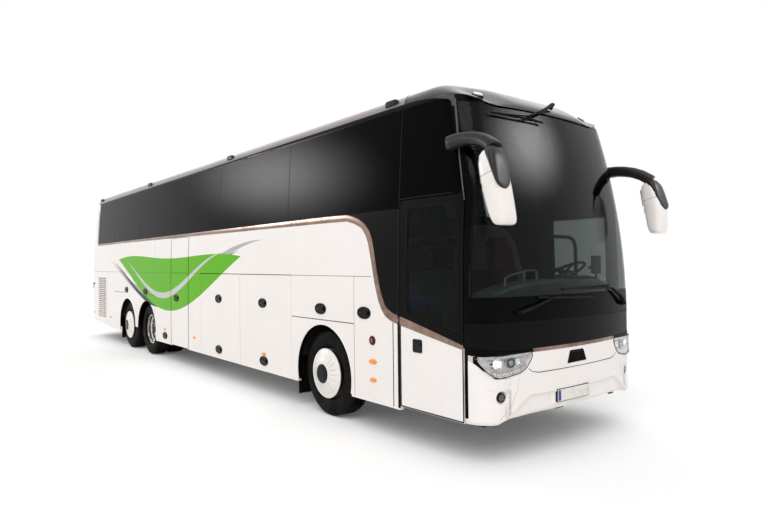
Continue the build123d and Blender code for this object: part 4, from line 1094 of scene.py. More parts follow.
def pad(place: Place, centre: Pair, outline: Sequence[Pair], levels: Sequence[Pair]) -> Form:
    """A fitting built of shrinking outlines over an outer face.

    Args:
        place: Gives the point and normal of the face at two coordinates.
        centre: The fitting's centre in those coordinates.
        outline: Its outline about the centre.
        levels: Share of the outline and height over the face, from the back to the front.

    Returns:
        The closed form.
    """
    middle, normal = place(*centre)
    u_way = (place(centre[0] + 0.01, centre[1])[0] - place(centre[0] - 0.01, centre[1])[0]).normalized()
    v_way = normal.cross(u_way).normalized()
    if v_way.z < 0:
        v_way = -v_way
    rows = [
        [middle + u_way * (u * share) + v_way * (v * share) + normal * lift for u, v in outline]
        for share, lift in levels
    ]
    return Form().grid(rows)


def arc(centre: Pair, inner: float, outer: float, start: float, end: float, count: int = 40) -> list[tuple[float, ...]]:
    """Rows of a strip round part of a circle, given in degrees."""
    rows = []
    for k in range(count + 1):
        turn = math.radians(start + (end - start) * k / count)
        rows.append((centre[0] + outer * math.cos(turn), centre[1] + outer * math.sin(turn),
                     centre[0] + inner * math.cos(turn), centre[1] + inner * math.sin(turn)))
    return rows


class Job:
    """What every sub-assembly needs: the main lines, the outer skin, the finishes and the repeat trees."""

    def __init__(self, lines: Lines, skin: Skin, finishes: Finishes, repeats: Repeats,
                 bodies: dict[str, list[str]]) -> None:
        """Keep the shared tools and the list of bodies with their nodes."""
        self.lines, self.skin, self.finishes, self.repeats, self.bodies = lines, skin, finishes, repeats, bodies

    def put(self, form: Form, name: str, finish: str, body: str = "coach", slot: str | None = None,
            nodes: Sequence[str] = (), angle: float = SMOOTH_ANGLE) -> bpy.types.Object:
        """Make one piece of a form and settle it on its body.

        Args:
            form: The form.
            name: Name of the piece.
            finish: Name of its finish.
            body: The body it moves with.
            slot: The record's material slot, where it has one.
            nodes: CAD nodes that it replaces.
            angle: Angle in degrees above which an edge stays sharp.

        Returns:
            The piece.
        """
        return settle(form.finish(name, self.finishes[finish], angle), body, slot, nodes)

    def repeat(self, form: Form, name: str, finish: str, body: str = "coach", slot: str | None = None,
               angle: float = SMOOTH_ANGLE, ring: bool = False, **values: Any) -> None:
        """Make one piece of a form repeated in a row or a ring, and settle it on its body.

        Args:
            form: The form at its first place.
            name: Name of the piece.
            finish: Name of its finish.
            body: The body it moves with.
            slot: The record's material slot, where it has one.
            angle: Angle in degrees above which an edge stays sharp.
            ring: Whether it is repeated round an axle instead of along a line.
            **values: The tree's inputs by name, such as Count and Step.
        """
        piece = form.finish(name, self.finishes[finish], angle)
        tree = self.repeats.ring if ring else self.repeats.row
        settle(self.repeats.apply(piece, tree, Material=self.finishes[finish], **values), body, slot)

    def on_side(self, side: int) -> Place:
        """Place points on one side."""
        return lambda step, z: self.skin.side(step, z, side)

    def on_corner(self, side: int) -> Place:
        """Place points round one front corner."""
        return lambda turn, z: self.skin.wrap(turn, z, side)


@dataclass
class Trim:
    """Bright strip, shut lines, rubber joints and arch lips of the body."""

    job: Job
    strip_height: float = 0.005
    seam_width: float = 0.0065
    seam_height: float = 0.0006
    joint_width: float = 0.010
    lip: Pair = (0.590, 0.606)
    lip_height: float = 0.006

    def build(self) -> None:
        """Make all trim."""
        for side, word in SIDES:
            self._strips(side, word)
            self._seams(side, word)
            self._joints(side, word)
            self._lips(side, word)
            self._linings(side, word)
            self._corner(side, word)
        self._front()
        self._rear()

    def _piece(self, name: str, forms: Sequence[Form], finish: str, body: str, slot: str | None = None) -> None:
        """Join several forms into one piece and settle it."""
        self.job.put(Form().join(*forms), name, finish, body, slot=slot)

    def _strips(self, side: int, word: str) -> None:
        """Bright strip under the glass, swept down ahead to the front corner."""
        place = self.job.on_side(side)
        main = band(place, (*REAR_TURN, *SWEEP), self.strip_height, step=0.4)
        door = band(place, DOOR_SWEEP, self.strip_height, step=0.1)
        if side == RIGHT:
            self._piece(f"trim_strip_{word}", [main], "steel_strip", "coach")
            self._piece("trim_strip_door", [door], "steel_strip", "front_door")
        else:
            self._piece(f"trim_strip_{word}", [main, door], "steel_strip", "coach")

    def _seams(self, side: int, word: str) -> None:
        """Shut lines of the fixed side panels."""
        breaks = [(-11.20, -5.245), (-4.360, -3.830), (-0.730, 0.965)]
        if side == LEFT:
            breaks = [(-11.20, -3.830), (-0.730, 0.965)]
        lines = [[(low, 1.7045), (high, 1.7045)] for low, high in breaks]
        lines += [
            [(-6.180, 0.860), (-6.180, 2.370)], [(0.650, 0.362), (0.650, 1.7045)], [(-0.735, 1.170), (0.650, 1.170)],
            [(-9.050, 1.240), (-8.280, 1.240)], [(-9.700, 0.440), (-9.700, 1.704)],
            [(-6.180, 1.240), (-6.800, 1.240)],
        ]
        place = self.job.on_side(side)
        bold = [line for line in lines if line[0][1] == line[1][1] and line[0][1] < 1.5]
        faint = [line for line in lines if line not in bold]
        self._piece(f"arch_panel_seams_{word}", [band(place, widen(line, 0.012), 0.0012) for line in bold], "seam",
                    "coach")
        forms = [band(place, widen(line, self.seam_width), self.seam_height) for line in faint]
        self._piece(f"shut_lines_{word}", forms, "seam", "coach")
        if side == RIGHT:
            cross = band(place, widen([(-5.228, 1.7045), (-4.385, 1.7045)], self.seam_width), self.seam_height)
            self._piece("shut_line_mid_door", [cross], "rubber", "mid_door")

    def _joints(self, side: int, word: str) -> None:
        """Rubber joints between the bonded panes, and round the doors."""
        place = self.job.on_side(side)
        forms = [
            band(place, widen([(step, 2.416), (step, 3.440)], self.joint_width), 0.0012)
            for step in (-9.200, -7.170, -5.020, -3.090, -0.860)
        ]
        forms.append(band(place, widen([(1.425, 2.42), (1.425, 3.440)], 0.012), 0.0012))
        forms.append(band(place, widen([(1.335, 0.365), (1.335, 1.232)], 0.012), 0.002))
        post = band(place, widen([(2.165, 3.400), (2.215, 3.150), (2.262, 2.830), (2.303, 2.606), (2.337, 2.416)],
                                 0.020), 0.003, step=0.12)
        self._piece(f"post_trim_{word}", [post], "post_trim", "coach")
        if side == RIGHT:
            forms.append(band(place, widen([(1.426, 0.365), (1.426, 2.400)], 0.036), 0.005))
            forms.append(band(place, widen([(1.430, 2.502), (2.340, 2.502)], 0.014), 0.003))
            for step in (-5.246, -4.360):
                forms.append(band(place, widen([(step, 0.36), (step, 2.345)], 0.014), 0.002))
            edges = [
                band(place, widen([(1.455, 0.392), (1.455, 1.222)], 0.014), 0.003),
                band(place, widen([(2.326, 0.392), (2.326, 1.048)], 0.014), 0.003),
                band(place, widen([(1.455, 1.300), (1.455, 2.476), (2.326, 2.476), (2.326, 1.094)], 0.014), 0.003),
            ]
            self._piece("front_door_rubber", edges, "rubber", "front_door")
            glass = [(1.550, 1.345), (1.550, 2.345), (1.610, 2.405), (2.185, 2.405), (2.245, 2.345), (2.279, 1.235),
                     (2.235, 1.178), (1.600, 1.322), (1.550, 1.345)]
            frame = band(place, widen(glass, 0.016), 0.004, step=0.06)
            self._piece("front_door_glass_rubber", [frame], "rubber", "front_door")
            foot = band(place, widen([(1.452, 0.394), (2.330, 0.394)], 0.012), 0.003)
            self._piece("front_door_foot_rubber", [foot], "rubber", "front_door")
        else:
            window = [(1.52, 1.40), (1.52, 2.36), (2.26, 2.36), (2.26, 1.40), (1.52, 1.40)]
            forms.append(band(place, widen(window, 0.018), 0.004, step=0.06))
        self._piece(f"glass_joints_{word}", forms, "rubber", "coach")
        heads = [(-10.66, 3.462), (-9.0, 3.474), (-5.0, 3.484), (0.0, 3.492), (1.44, 3.498), (1.60, 3.493),
                 (1.70, 3.486), (1.80, 3.475), (1.88, 3.462), (1.95, 3.444)]
        head = band(place, [(x, z, x, min(3.440, z - 0.006)) for x, z in heads], 0.0025, step=0.4)
        self._piece(f"glass_head_{word}", [head], "tinted_head", "coach", "tinted_glass")
        rows = [(x, 3.466, x + 0.001, z) for x, z in ((1.94, 3.445), (2.02, 3.428), (2.09, 3.408))]
        end = band(place, [*rows, (2.150, 3.456, 2.130, 3.380), (2.180, 3.330, 2.145, 3.330)], 0.004, step=0.04)
        self._piece(f"roof_corner_trim_{word}", [end], "post_trim", "coach")
        cut = band(place, widen([(1.440, 3.503), (1.440, 3.600)], 0.010), 0.0015, step=0.02)
        self._piece(f"roof_nose_seam_{word}", [cut], "rubber", "coach")

    def _arches(self) -> tuple[tuple[float, float, float], ...]:
        """Place of each wheel arch from the front axle, and its first and last angle in degrees."""
        lines = self.job.lines
        return (0.0, -14.0, 194.0), (lines.drive - lines.front, -14.0, 180.0), (lines.tag - lines.front, 0.0, 188.0)

    def _lips(self, side: int, word: str) -> None:
        """Raised lips round the wheel arches, painted as the body."""
        place, hub = self.job.on_side(side), self.job.lines.hub
        forms = [
            band(place, arc((axle, hub), *self.lip, start, end), self.lip_height, step=0.08)
            for axle, start, end in self._arches()
        ]
        self._piece(f"arch_lips_{word}", forms, "body_paint", "coach", "body_paint")

    def _linings(self, side: int, word: str) -> None:
        """Dark linings over the cut edge of the side in the wheel arches."""
        lines, whole = self.job.lines, Form()
        section = ((0, 1.2735), (2, 1.2725), (2, 1.2220), (0, 1.2220))
        for axle, start, end in self._arches():
            whole.grid([
                [Vector((row[edge], side * y, row[edge + 1])) for edge, y in section]
                for row in arc((lines.x(axle), lines.hub), 0.5845, 0.5890, start, end, 60)
            ])
        self.job.put(whole, f"arch_linings_{word}", "black_trim")

    def _corner(self, side: int, word: str) -> None:
        """Black foot of the windscreen over the lamp, its printed band and its rubber."""
        place = self.job.on_corner(side)
        foot = band(place, [(0.02, 1.090, 0.02, 1.012), (0.35, 1.070, 0.35, 1.000), (0.8, 1.050, 0.8, 1.000),
                            (1.0, 1.046, 1.0, 1.004), (1.32, 1.044, 1.32, 1.013)], 0.004, step=0.08)
        edge = band(place, [(0.004, 1.060, 0.075, 1.060), (0.004, 0.440, 0.075, 0.440)], 0.003, step=0.1)
        self._piece(f"mask_foot_{word}", [foot, edge], "black_trim", "coach")
        line = widen([(side * y, z) for y, z in ((0.857, 0.779), (0.882, 0.682), (0.948, 0.554), (1.082, 0.428))],
                     0.004)
        self._piece(f"bumper_seam_{word}", [band(self.job.skin.front, line, 0.0010, step=0.03)], "soft_seam", "coach")
        outer, inner = [], []
        for row in range(7):
            z = 1.292 + 0.238 * row / 6
            outer.append([])
            inner.append([])
            for turn in (*(0.10 + 0.05 * k for k in range(18)), *(1.0 + 0.05 * k for k in range(21))):
                point, normal = place(turn, z)
                outer[-1].append(point + normal * 0.0016)
                inner[-1].append(point - normal * 0.0010)
        self._piece(f"windscreen_band_{word}", [Form().shell(outer, inner)], "screen_black", "coach")
        rubber = band(place, widen([(turn, 1.288) for turn in (0.06, 0.5, 1.0, 2.0)], 0.012), 0.002, step=0.1)
        self._piece(f"screen_rubber_{word}", [rubber], "rubber", "coach")

    def _front(self) -> None:
        """Middle strip between the lamps and the seam of the front hatch."""
        strip = band(self.job.skin.front, [(-0.690, 1.044, -0.690, 1.010), (0.690, 1.044, 0.690, 1.010)], 0.004,
                     step=0.08)
        self._piece("trim_strip_front", [strip], "steel_strip", "coach")
        hatch = widen([(-0.745, 0.862), (-0.700, 0.832), (-0.620, 0.817), (0.620, 0.817), (0.700, 0.832),
                       (0.745, 0.862)], self.seam_width)
        self._piece("front_hatch_seam", [band(self.job.skin.front, hatch, self.seam_height, step=0.1)], "rubber",
                    "coach")

    def _rear(self) -> None:
        """Rubber round the rear window."""
        frame = widen([(-0.93, 2.48), (-0.93, 3.33), (0.93, 3.33), (0.93, 2.48), (-0.93, 2.48)], 0.022)
        self._piece("rear_window_rubber", [band(self.job.skin.rear, frame, 0.004, step=0.1)], "rubber", "coach")


@dataclass
class SideFittings:
    """Panel locks, side markers, door handle and mud flaps."""

    job: Job
    lock_half: Pair = (0.122, 0.068)
    marker_half: Pair = (0.068, 0.026)
    upper_locks: tuple[float, ...] = (-8.100, -6.760, -3.056, -1.548, -0.043, 0.837)
    lower_locks: tuple[float, ...] = (-5.577, -3.055, -1.520)
    markers: tuple[Pair, ...] = (
        (0.990, 0.786), (0.994, 0.587), (-1.518, 0.587), (-4.086, 0.587), (-5.586, 0.610), (-9.450, 0.600),
        (-10.980, 0.640),
    )

    def build(self) -> None:
        """Make the fittings of both sides."""
        for side, word in SIDES:
            places = [(x, 1.303) for x in self.upper_locks] + [(x, 0.490) for x in self.lower_locks]
            if side == RIGHT:
                places.append((-4.950, 1.240))
            self._spread(places, self._lock, "panel_locks", side, word, "cap_black")
            self._spread(self.markers, self._marker, "side_markers", side, word, "amber_lens")
            self._mud_flaps(side, word)
        self._door_handle()
        self._release_button()

    def _spread(self, places: Sequence[Pair], make: Callable[[Place, Pair], list[Form]], name: str, side: int,
                word: str, finish: str) -> None:
        """Make one kind of fitting at each place, one piece for each body.

        Args:
            places: Distance from the front axle and height of each.
            make: Builds one fitting.
            name: The piece's name.
            side: RIGHT or LEFT.
            word: The side's name.
            finish: The finish of all of them.
        """
        by_body: dict[str, list[Pair]] = {}
        for place in places:
            by_body.setdefault(self.job.lines.body_at(place[0], side), []).append(place)
        for body, members in by_body.items():
            whole = Form()
            for member in members:
                whole.join(*make(self.job.on_side(side), member))
            tail = "" if body == "coach" else f"_{body}"
            self.job.put(whole, f"{name}_{word}{tail}", finish, body)

    def _lock(self, place: Place, centre: Pair) -> list[Form]:
        """Oval dish with a raised rim and a turn bar."""
        wide, high = self.lock_half
        dish = pad(place, centre, [(wide * u, high * v) for u, v in oblong(36, 2.08)], (
            (1.0, -0.002), (1.0, 0.005), (0.96, 0.010), (0.90, 0.012), (0.84, 0.008), (0.76, 0.002), (0.30, 0.001)))
        bar = pad(place, centre, rounded(0.074, 0.017, 0.012, 4), ((1.0, 0.0), (1.0, 0.010), (0.9, 0.015),
                                                                   (0.5, 0.017)))
        knob = pad(place, (centre[0] + 0.052, centre[1]), rounded(0.020, 0.020, 0.0199, 5), (
            (1.0, 0.0), (1.0, 0.016), (0.85, 0.019)))
        return [dish, bar, knob]

    def _marker(self, place: Place, centre: Pair) -> list[Form]:
        """Side marker lens with a crowned face."""
        share = 1.0 if centre[1] > 0.7 else 0.84
        wide, high = (half * share for half in self.marker_half)
        return [pad(place, centre, [(wide * u, high * v) for u, v in oblong(32, 2.3)], (
            (1.0, -0.002), (1.0, 0.006), (0.94, 0.011), (0.80, 0.014), (0.40, 0.016)))]

    def _mud_flaps(self, side: int, word: str) -> None:
        """Rubber flaps behind the front and the last wheels."""
        lines = self.job.lines
        whole = Form()
        for x in (lines.front - 0.668, lines.tag - 0.662):
            low, high = sorted((side * 0.880, side * 1.215))
            whole.box((x - 0.006, low, 0.165), (x + 0.006, high, 0.672))
            whole.box((x - 0.012, low + 0.02, 0.480), (x + 0.012, high - 0.02, 0.505))
            for k in range(5):
                y = low + 0.04 + k * (high - low - 0.08) / 4
                whole.box((x + 0.004, y - 0.008, 0.185), (x + 0.010, y + 0.008, 0.460))
        self.job.put(whole, f"mud_flaps_{word}", "rubber")

    def _door_handle(self) -> None:
        """Square dish with its pull handle on the front door."""
        place, centre = self.job.on_side(RIGHT), (1.712, 1.027)
        whole = Form().join(
            pad(place, centre, rounded(0.068, 0.066, 0.016, 5), (
                (1.0, -0.002), (1.0, 0.005), (0.95, 0.008), (0.88, 0.008), (0.80, 0.001), (0.30, 0.001))),
            pad(place, (centre[0], centre[1] + 0.018), rounded(0.050, 0.014, 0.012, 4), (
                (1.0, 0.001), (1.0, 0.012), (0.9, 0.016), (0.5, 0.017))),
        )
        self.job.put(whole, "front_door_handle", "satin_black", "front_door")

    def _release_button(self) -> None:
        """Round door release with a red button."""
        place, centre = self.job.on_side(RIGHT), (0.985, 1.013)
        ring = pad(place, centre, [(0.052 * u, 0.050 * v) for u, v in oblong(28, 2.0)],
                   ((1.0, -0.002), (1.0, 0.006), (0.9, 0.010), (0.74, 0.010), (0.66, 0.003), (0.3, 0.003)))
        self.job.put(ring, "door_release_ring", "satin_black")
        button = pad(place, centre, rounded(0.022, 0.022, 0.0219, 6), ((1.0, 0.002), (1.0, 0.012), (0.7, 0.016)))
        self.job.put(button, "door_release_button", "red_lens")


@dataclass
class Wheels:
    """Tyres, covered single wheels and twin wheels with polished rims."""

    job: Job
    centre: float = 1.060
    twin: float = 0.335
    tyre_half: float = 0.1475
    tyre_radius: float = 0.520
    rim: float = 0.286
    rim_half: float = 0.105
    cover_ribs: int = 20
    cover_out: float = 0.056
    nuts: int = 10
    nut_circle: float = 0.1675
    hole_circle: float = 0.232
    hole_angle: float = 0.314
    disc_depth: float = 0.078

    def build(self) -> None:
        """Make every wheel."""
        lines = self.job.lines
        for side, word in SIDES:
            for place, x in (("front", lines.front), ("drive", lines.drive), ("tag", lines.tag)):
                body = next(b for b, members in self.job.bodies.items() if f"{place}_tyre_{word}" in members)
                centres = (self.centre, self.centre - self.twin) if place == "drive" else (self.centre,)
                self._tyres(place, word, x, side, centres, body)
                if place == "drive":
                    self._twin(word, x, side, body)
                else:
                    self._covered(place, word, x, side, body)

    def _tyres(self, place: str, word: str, x: float, side: int, centres: Sequence[float], body: str) -> None:
        """Tyres with four grooves, cut shoulders and ribbed side walls."""
        half, top = self.tyre_half, self.tyre_radius
        wall = [
            (self.rim_half - 0.0083, self.rim + 0.002), (self.rim_half - 0.0083, self.rim + 0.0125),
            (half - 0.022, self.rim + 0.030), (half - 0.012, self.rim + 0.046), (half - 0.006, self.rim + 0.062),
            (half - 0.004, self.rim + 0.066), (half - 0.004, self.rim + 0.078), (half - 0.001, self.rim + 0.082),
            (half - 0.0005, self.rim + 0.115), (half - 0.001, self.rim + 0.140), (half - 0.006, top - 0.062),
            (half - 0.004, top - 0.058), (half - 0.006, top - 0.050), (half - 0.013, top - 0.030),
            (half - 0.021, top - 0.016), (half - 0.030, top - 0.008), (half - 0.044, top - 0.003),
        ]
        tread: list[Pair] = []
        for groove in (0.078, 0.030):
            tread += moved(groove, (0.007, top - 0.001), (0.005, top - 0.013), (-0.005, top - 0.013),
                           (-0.007, top - 0.001))
        section = wall + tread
        section = section + [(-out, radius) for out, radius in reversed(section)]
        segments = 180
        centre_shoulder = range(11, 16)

        whole = Form()
        for offset in centres:
            def notch(index: int, step: int) -> float:
                mirrored = len(section) - 1 - index
                if step % 3 == 0 and (index in centre_shoulder or mirrored in centre_shoulder):
                    return -0.005 if index in centre_shoulder else 0.005
                return 0.0

            profile = [(offset + out, radius) for out, radius in section]
            whole.lathe(profile, Vector((x, 0, self.job.lines.hub)), side, segments, closed=True, wave=notch)
        self.job.put(whole, f"{place}_tread_{word}", "tyre_rubber", body, slot="tyre_rubber",
                     nodes=[f"{place}_tyre_{word}"], angle=28)

    def _rim_profile(self, offset: float, reach: float) -> list[Pair]:
        """Closed section of a rim barrel with rolled flanges and a drop centre.

        Args:
            offset: The rim's centre from the coach's middle plane.
            reach: Half its width.

        Returns:
            Distance outwards and radius of each point.
        """
        lip, seat = self.rim + 0.0115, self.rim - 0.0005
        outside = [(-reach, lip), (-reach + 0.006, lip), (-reach + 0.0075, seat), (-0.05, seat), (-0.03, seat - 0.024),
                   (0.02, seat - 0.024), (0.04, seat), (reach - 0.0075, seat), (reach - 0.006, lip), (reach, lip),
                   (reach, lip - 0.004)]
        inside = [(reach - 0.003, seat - 0.008), (reach - 0.016, seat - 0.012), (0.045, seat - 0.012),
                  (0.026, seat - 0.034), (-0.036, seat - 0.034), (-0.056, seat - 0.012), (-reach + 0.016, seat - 0.012),
                  (-reach + 0.003, seat - 0.008), (-reach, lip - 0.004)]
        return [(offset + out, radius) for out, radius in outside + inside]

    def _covered(self, place: str, word: str, x: float, side: int, body: str) -> None:
        """A steel rim under a domed cover with pressed ribs and a plain cap."""
        axle = Vector((x, 0, self.job.lines.hub))
        face = self.centre + self.rim_half + self.cover_out
        rim = Form().lathe(self._rim_profile(self.centre, self.rim_half), axle, side, 96, closed=True)
        disc = [(self.centre + 0.022, 0.0), (self.centre + 0.022, 0.12), (self.centre + 0.044, 0.225),
                (self.centre + 0.030, 0.272), (self.centre + 0.040, 0.272), (self.centre + 0.055, 0.225),
                (self.centre + 0.034, 0.12), (self.centre + 0.034, 0.0)]
        rim.lathe(disc, axle, side, 72)
        self.job.put(rim, f"{place}_rim_{word}", "rim_steel", body)
        shell = moved(face, (-0.014, 0.2860), (-0.004, 0.293), (0.002, 0.299), (0.007, 0.300), (0.011, 0.296),
                      (0.012, 0.288), (0.009, 0.281), (0.015, 0.268), (0.024, 0.245), (0.034, 0.215), (0.043, 0.185),
                      (0.051, 0.160), (0.059, 0.143), (0.067, 0.136), (0.071, 0.128), (0.071, 0.120), (0.067, 0.115),
                      (0.062, 0.113))
        inner = [(out - 0.004, radius - 0.002) for out, radius in reversed(shell[1:])]
        ribbed = {8: 0.5, 9: 1.0, 10: 1.0, 11: 0.8, 12: 0.3}
        segments = 240
        per_rib = segments // self.cover_ribs

        def press(index: int, step: int) -> float:
            offset = min(step % per_rib, per_rib - step % per_rib)
            level = index if index < len(shell) else 2 * len(shell) - 1 - index
            return -0.0170 * ribbed.get(level, 0.0) * math.exp(-((offset / 0.9) ** 2))

        cover = Form().lathe(shell + inner, axle, side, segments, closed=True, wave=press)
        self.job.put(cover, f"{place}_cover_{word}", "wheel_cover", body, slot="wheel_cover",
                     nodes=[f"{place}_wheel_{word}"])
        hoop = moved(face, (-0.085, 0.258), (-0.085, 0.2725), (-0.008, 0.2725), (-0.008, 0.258))
        self.job.put(Form().lathe(hoop, axle, side, 72, closed=True), f"{place}_cover_hoop_{word}", "satin_black",
                     body)
        cap = moved(face, (0.040, 0.0), (0.040, 0.1135), (0.071, 0.1135), (0.077, 0.108), (0.0785, 0.098),
                    (0.075, 0.092), (0.077, 0.060), (0.079, 0.0))
        self.job.put(Form().lathe(cap, axle, side, 72), f"{place}_cap_{word}", "cap_black", body)

    def _twin(self, word: str, x: float, side: int, body: str) -> None:
        """Two rims, a disc with black cups as painted shade of its holes, a hub and a ring of nuts."""
        axle = Vector((x, 0, self.job.lines.hub))
        outer, inner = self.centre, self.centre - self.twin
        rims = Form().lathe(self._rim_profile(outer, self.rim_half), axle, side, 120, closed=True)
        rims.lathe(self._rim_profile(inner, self.rim_half), axle, side, 96, closed=True)
        self.job.put(rims, f"drive_rims_{word}", "polished_rim", body, slot="rim_metal",
                     nodes=[f"drive_wheel_{word}"])
        base = outer - self.disc_depth
        disc = Form().lathe(moved(base, (-0.004, 0.070), (0.002, 0.150), (-0.016, 0.205), (0.004, 0.262),
                                  (0.016, 0.262), (-0.004, 0.205), (0.014, 0.150), (0.010, 0.070)), axle, side, 120,
                            closed=True)
        disc.lathe(moved(inner, (0.070, 0.070), (0.070, 0.150), (0.086, 0.205), (0.070, 0.262), (0.082, 0.262),
                         (0.098, 0.205), (0.084, 0.150), (0.084, 0.070)), axle, side, 96, closed=True)
        self.job.put(disc, f"drive_discs_{word}", "polished_rim", body)
        hub = [*moved(inner, (-0.09, 0.0), (-0.09, 0.110)),
               *moved(base, (0.012, 0.110), (0.034, 0.112), (0.040, 0.106), (0.070, 0.100), (0.105, 0.094),
                      (0.125, 0.082), (0.132, 0.060), (0.134, 0.0))]
        self.job.put(Form().lathe(hub, axle, side, 64), f"drive_hub_{word}", "rim_steel", body)
        spot = axle + Vector((self.nut_circle, 0, 0))
        stud = Form()
        ring = {"Count": self.nuts, "Centre": axle, "Axis": (0.0, 1.0, 0.0)}
        for low, high, radius, sides in ((0.006, 0.034, 0.0165, 6), (0.034, 0.050, 0.0095, 10),
                                         (0.006, 0.012, 0.0215, 16)):
            stud.lathe(moved(base, (low, 0.0), (low, radius), (high, radius), (high, 0.0)), spot, side, sides)
        nuts = stud.finish(f"drive_nuts_{word}", self.job.finishes["rim_steel"], 25)
        self.job.repeats.apply(nuts, self.job.repeats.ring, Material=self.job.finishes["chrome"], **ring)
        settle(nuts, body)
        # painted shade: the disc's holes are black cups, not openings
        hole_shade = Form()
        aside, up = math.cos(self.hole_angle), math.sin(self.hole_angle)
        centre = Vector((x + self.hole_circle * aside, 0, self.job.lines.hub + self.hole_circle * up))
        hole_shade.lathe(moved(base, (-0.010, 0.0), (-0.010, 0.020), (0.0045, 0.022), (0.0065, 0.0235), (0.0065, 0.0200),
                         (-0.004, 0.018), (-0.004, 0.0)), centre, side, 20)
        self.job.repeat(hole_shade, f"drive_disc_hole_shades_{word}", "satin_black", body, ring=True, **ring)


@dataclass
class Mirrors:
    """Outside mirrors on swan-neck arms."""

    job: Job
    arm_drop: float = 0.080
    foot: float = 2.158
    height: float = 0.648
    foot_drop: float = 0.020
    drop_rise: float = 0.060
    # Height, rear and front edge from the front axle, inner and outer edge of the head and of its black nose.
    levels: ClassVar = (
        (2.806, 2.728, 2.800, 1.290, 1.392), (2.790, 2.700, 2.818, 1.268, 1.424), (2.750, 2.672, 2.846, 1.252, 1.446),
        (2.670, 2.674, 2.874, 1.240, 1.460), (2.560, 2.690, 2.900, 1.234, 1.461), (2.450, 2.714, 2.918, 1.226, 1.459),
        (2.350, 2.738, 2.926, 1.212, 1.452), (2.270, 2.758, 2.929, 1.201, 1.442), (2.215, 2.776, 2.929, 1.195, 1.430),
        (2.180, 2.794, 2.924, 1.200, 1.416), (2.163, 2.812, 2.910, 1.216, 1.398), (2.158, 2.835, 2.892, 1.240, 1.376),
    )
    nose_levels: ClassVar = (
        (2.832, 2.728, 2.800, 1.276, 1.386), (2.820, 2.726, 2.818, 1.264, 1.414), (2.780, 2.742, 2.844, 1.256, 1.446),
        (2.740, 2.768, 2.861, 1.254, 1.459), (2.680, 2.800, 2.878, 1.254, 1.463), (2.620, 2.830, 2.893, 1.256, 1.4635),
        (2.560, 2.862, 2.906, 1.270, 1.4630), (2.520, 2.884, 2.914, 1.280, 1.462), (2.495, 2.894, 2.918, 1.297, 1.450),
        (2.475, 2.900, 2.921, 1.318, 1.428), (2.462, 2.903, 2.9225, 1.338, 1.402), (2.456, 2.906, 2.9225, 1.358, 1.382),
    )

    def build(self) -> None:
        """Make both mirrors."""
        for side, word in SIDES:
            self._arm(side, word)
            self._head(side, word)

    def _arm(self, side: int, word: str) -> None:
        """The arm: flattened at the body, arched ahead to its joint over the head."""
        drop = self.arm_drop if side == LEFT else 0.0
        path = [
            (2.196, 1.276, 2.952, 0.058, 1.16), (2.204, 1.276, 2.953, 0.064, 1.12), (2.240, 1.278, 2.958, 0.064, 1.07),
            (2.290, 1.281, 2.965, 0.063, 1.02), (2.390, 1.285, 2.966, 0.063, 0.96), (2.490, 1.290, 2.953, 0.064, 0.94),
            (2.590, 1.297, 2.928, 0.064, 0.92), (2.680, 1.308, 2.889, 0.064, 0.92), (2.745, 1.320, 2.846, 0.064, 0.92),
            (2.772, 1.325, 2.826, 0.064, 0.92), (2.778, 1.327, 2.820, 0.060, 0.92),
        ]
        rows = []
        for index, (x, y, z, wide, tall) in enumerate(path):
            here = Vector((self.job.lines.x(x), side * y, z - drop))
            before, after = path[max(index - 1, 0)], path[min(index + 1, len(path) - 1)]
            along = Vector((after[0] - before[0], side * (after[1] - before[1]), after[2] - before[2])).normalized()
            across = Vector((0, 1, 0))
            across = (across - along * across.dot(along)).normalized()
            upward = across.cross(along)
            if upward.z < 0:
                upward = -upward
            rows.append([here + across * (u * wide) + upward * (v * wide * tall) for u, v in oblong(22)])
        self.job.put(Form().grid(rows), f"mirror_arm_{word}", "mirror_arm", angle=45)
        x = self.job.lines.x(2.196)
        foot = Form().grid([
            [Vector((x + lift, side * (1.276 + 0.056 * u * share), 2.952 - drop + 0.062 * v * share))
             for u, v in oblong(24, 4.0)]
            for share, lift in ((0.9, 0.010), (1.0, 0.0), (1.0, -0.006), (0.9, -0.010), (0.5, -0.010))
        ])
        self.job.put(foot, f"mirror_foot_{word}", "satin_black")
        arm_pin = Form().tube([Vector((self.job.lines.x(2.250), side * y, 2.95 - drop)) for y in (1.190, 1.240)],
                              0.036, 16)
        self.job.put(arm_pin, f"mirror_pin_{word}", "satin_black")

    def _head(self, side: int, word: str) -> None:
        """The head: a white shell that leans ahead downwards, a black nose and two glasses."""
        head = self._rings(self.levels, side, oblong(28, 3.2))
        self.job.put(head, f"mirror_head_{word}", "mirror_shell", slot="mirror_shell", nodes=["mirrors"], angle=45)
        nose = self._rings(self.nose_levels, side, oblong(24, 3.0))
        self.job.put(nose, f"mirror_nose_{word}", "mirror_arm", angle=45)
        glass = Form()
        for low, high in ((2.225, 2.480), (2.500, 2.715)):
            mid_z, mid_y = (low + high) / 2, 1.349
            glass.grid([
                [Vector((self.job.lines.x(self._back_edge(mid_z + v * share) + lift), side * (mid_y + u * share),
                         self._low(mid_z + v * share, side))) for u, v in rounded(0.076, (high - low) / 2, 0.02, 4)]
                for share, lift in ((1.0, 0.006), (1.0, 0.001), (0.96, -0.001), (0.2, -0.001))
            ])
        self.job.put(glass, f"mirror_glass_{word}", "mirror_glass")
        seam = Form().tube([
            Vector((self.job.lines.x(2.788 + u * 0.1045), side * (1.3485 + v * 0.1125),
                    self._low(2.585 + 0.030 * u, side)))
            for u, v in oblong(28, 3.2)
        ], 0.0016, 6, closed=True)
        self.job.put(seam, f"mirror_seam_{word}", "rubber")

    def _low(self, z: float, side: int) -> float:
        """Height of a point of the head: the left mirror hangs lower than the right one."""
        return z - (self.foot_drop + self.drop_rise * (z - self.foot) / self.height) if side == LEFT else z

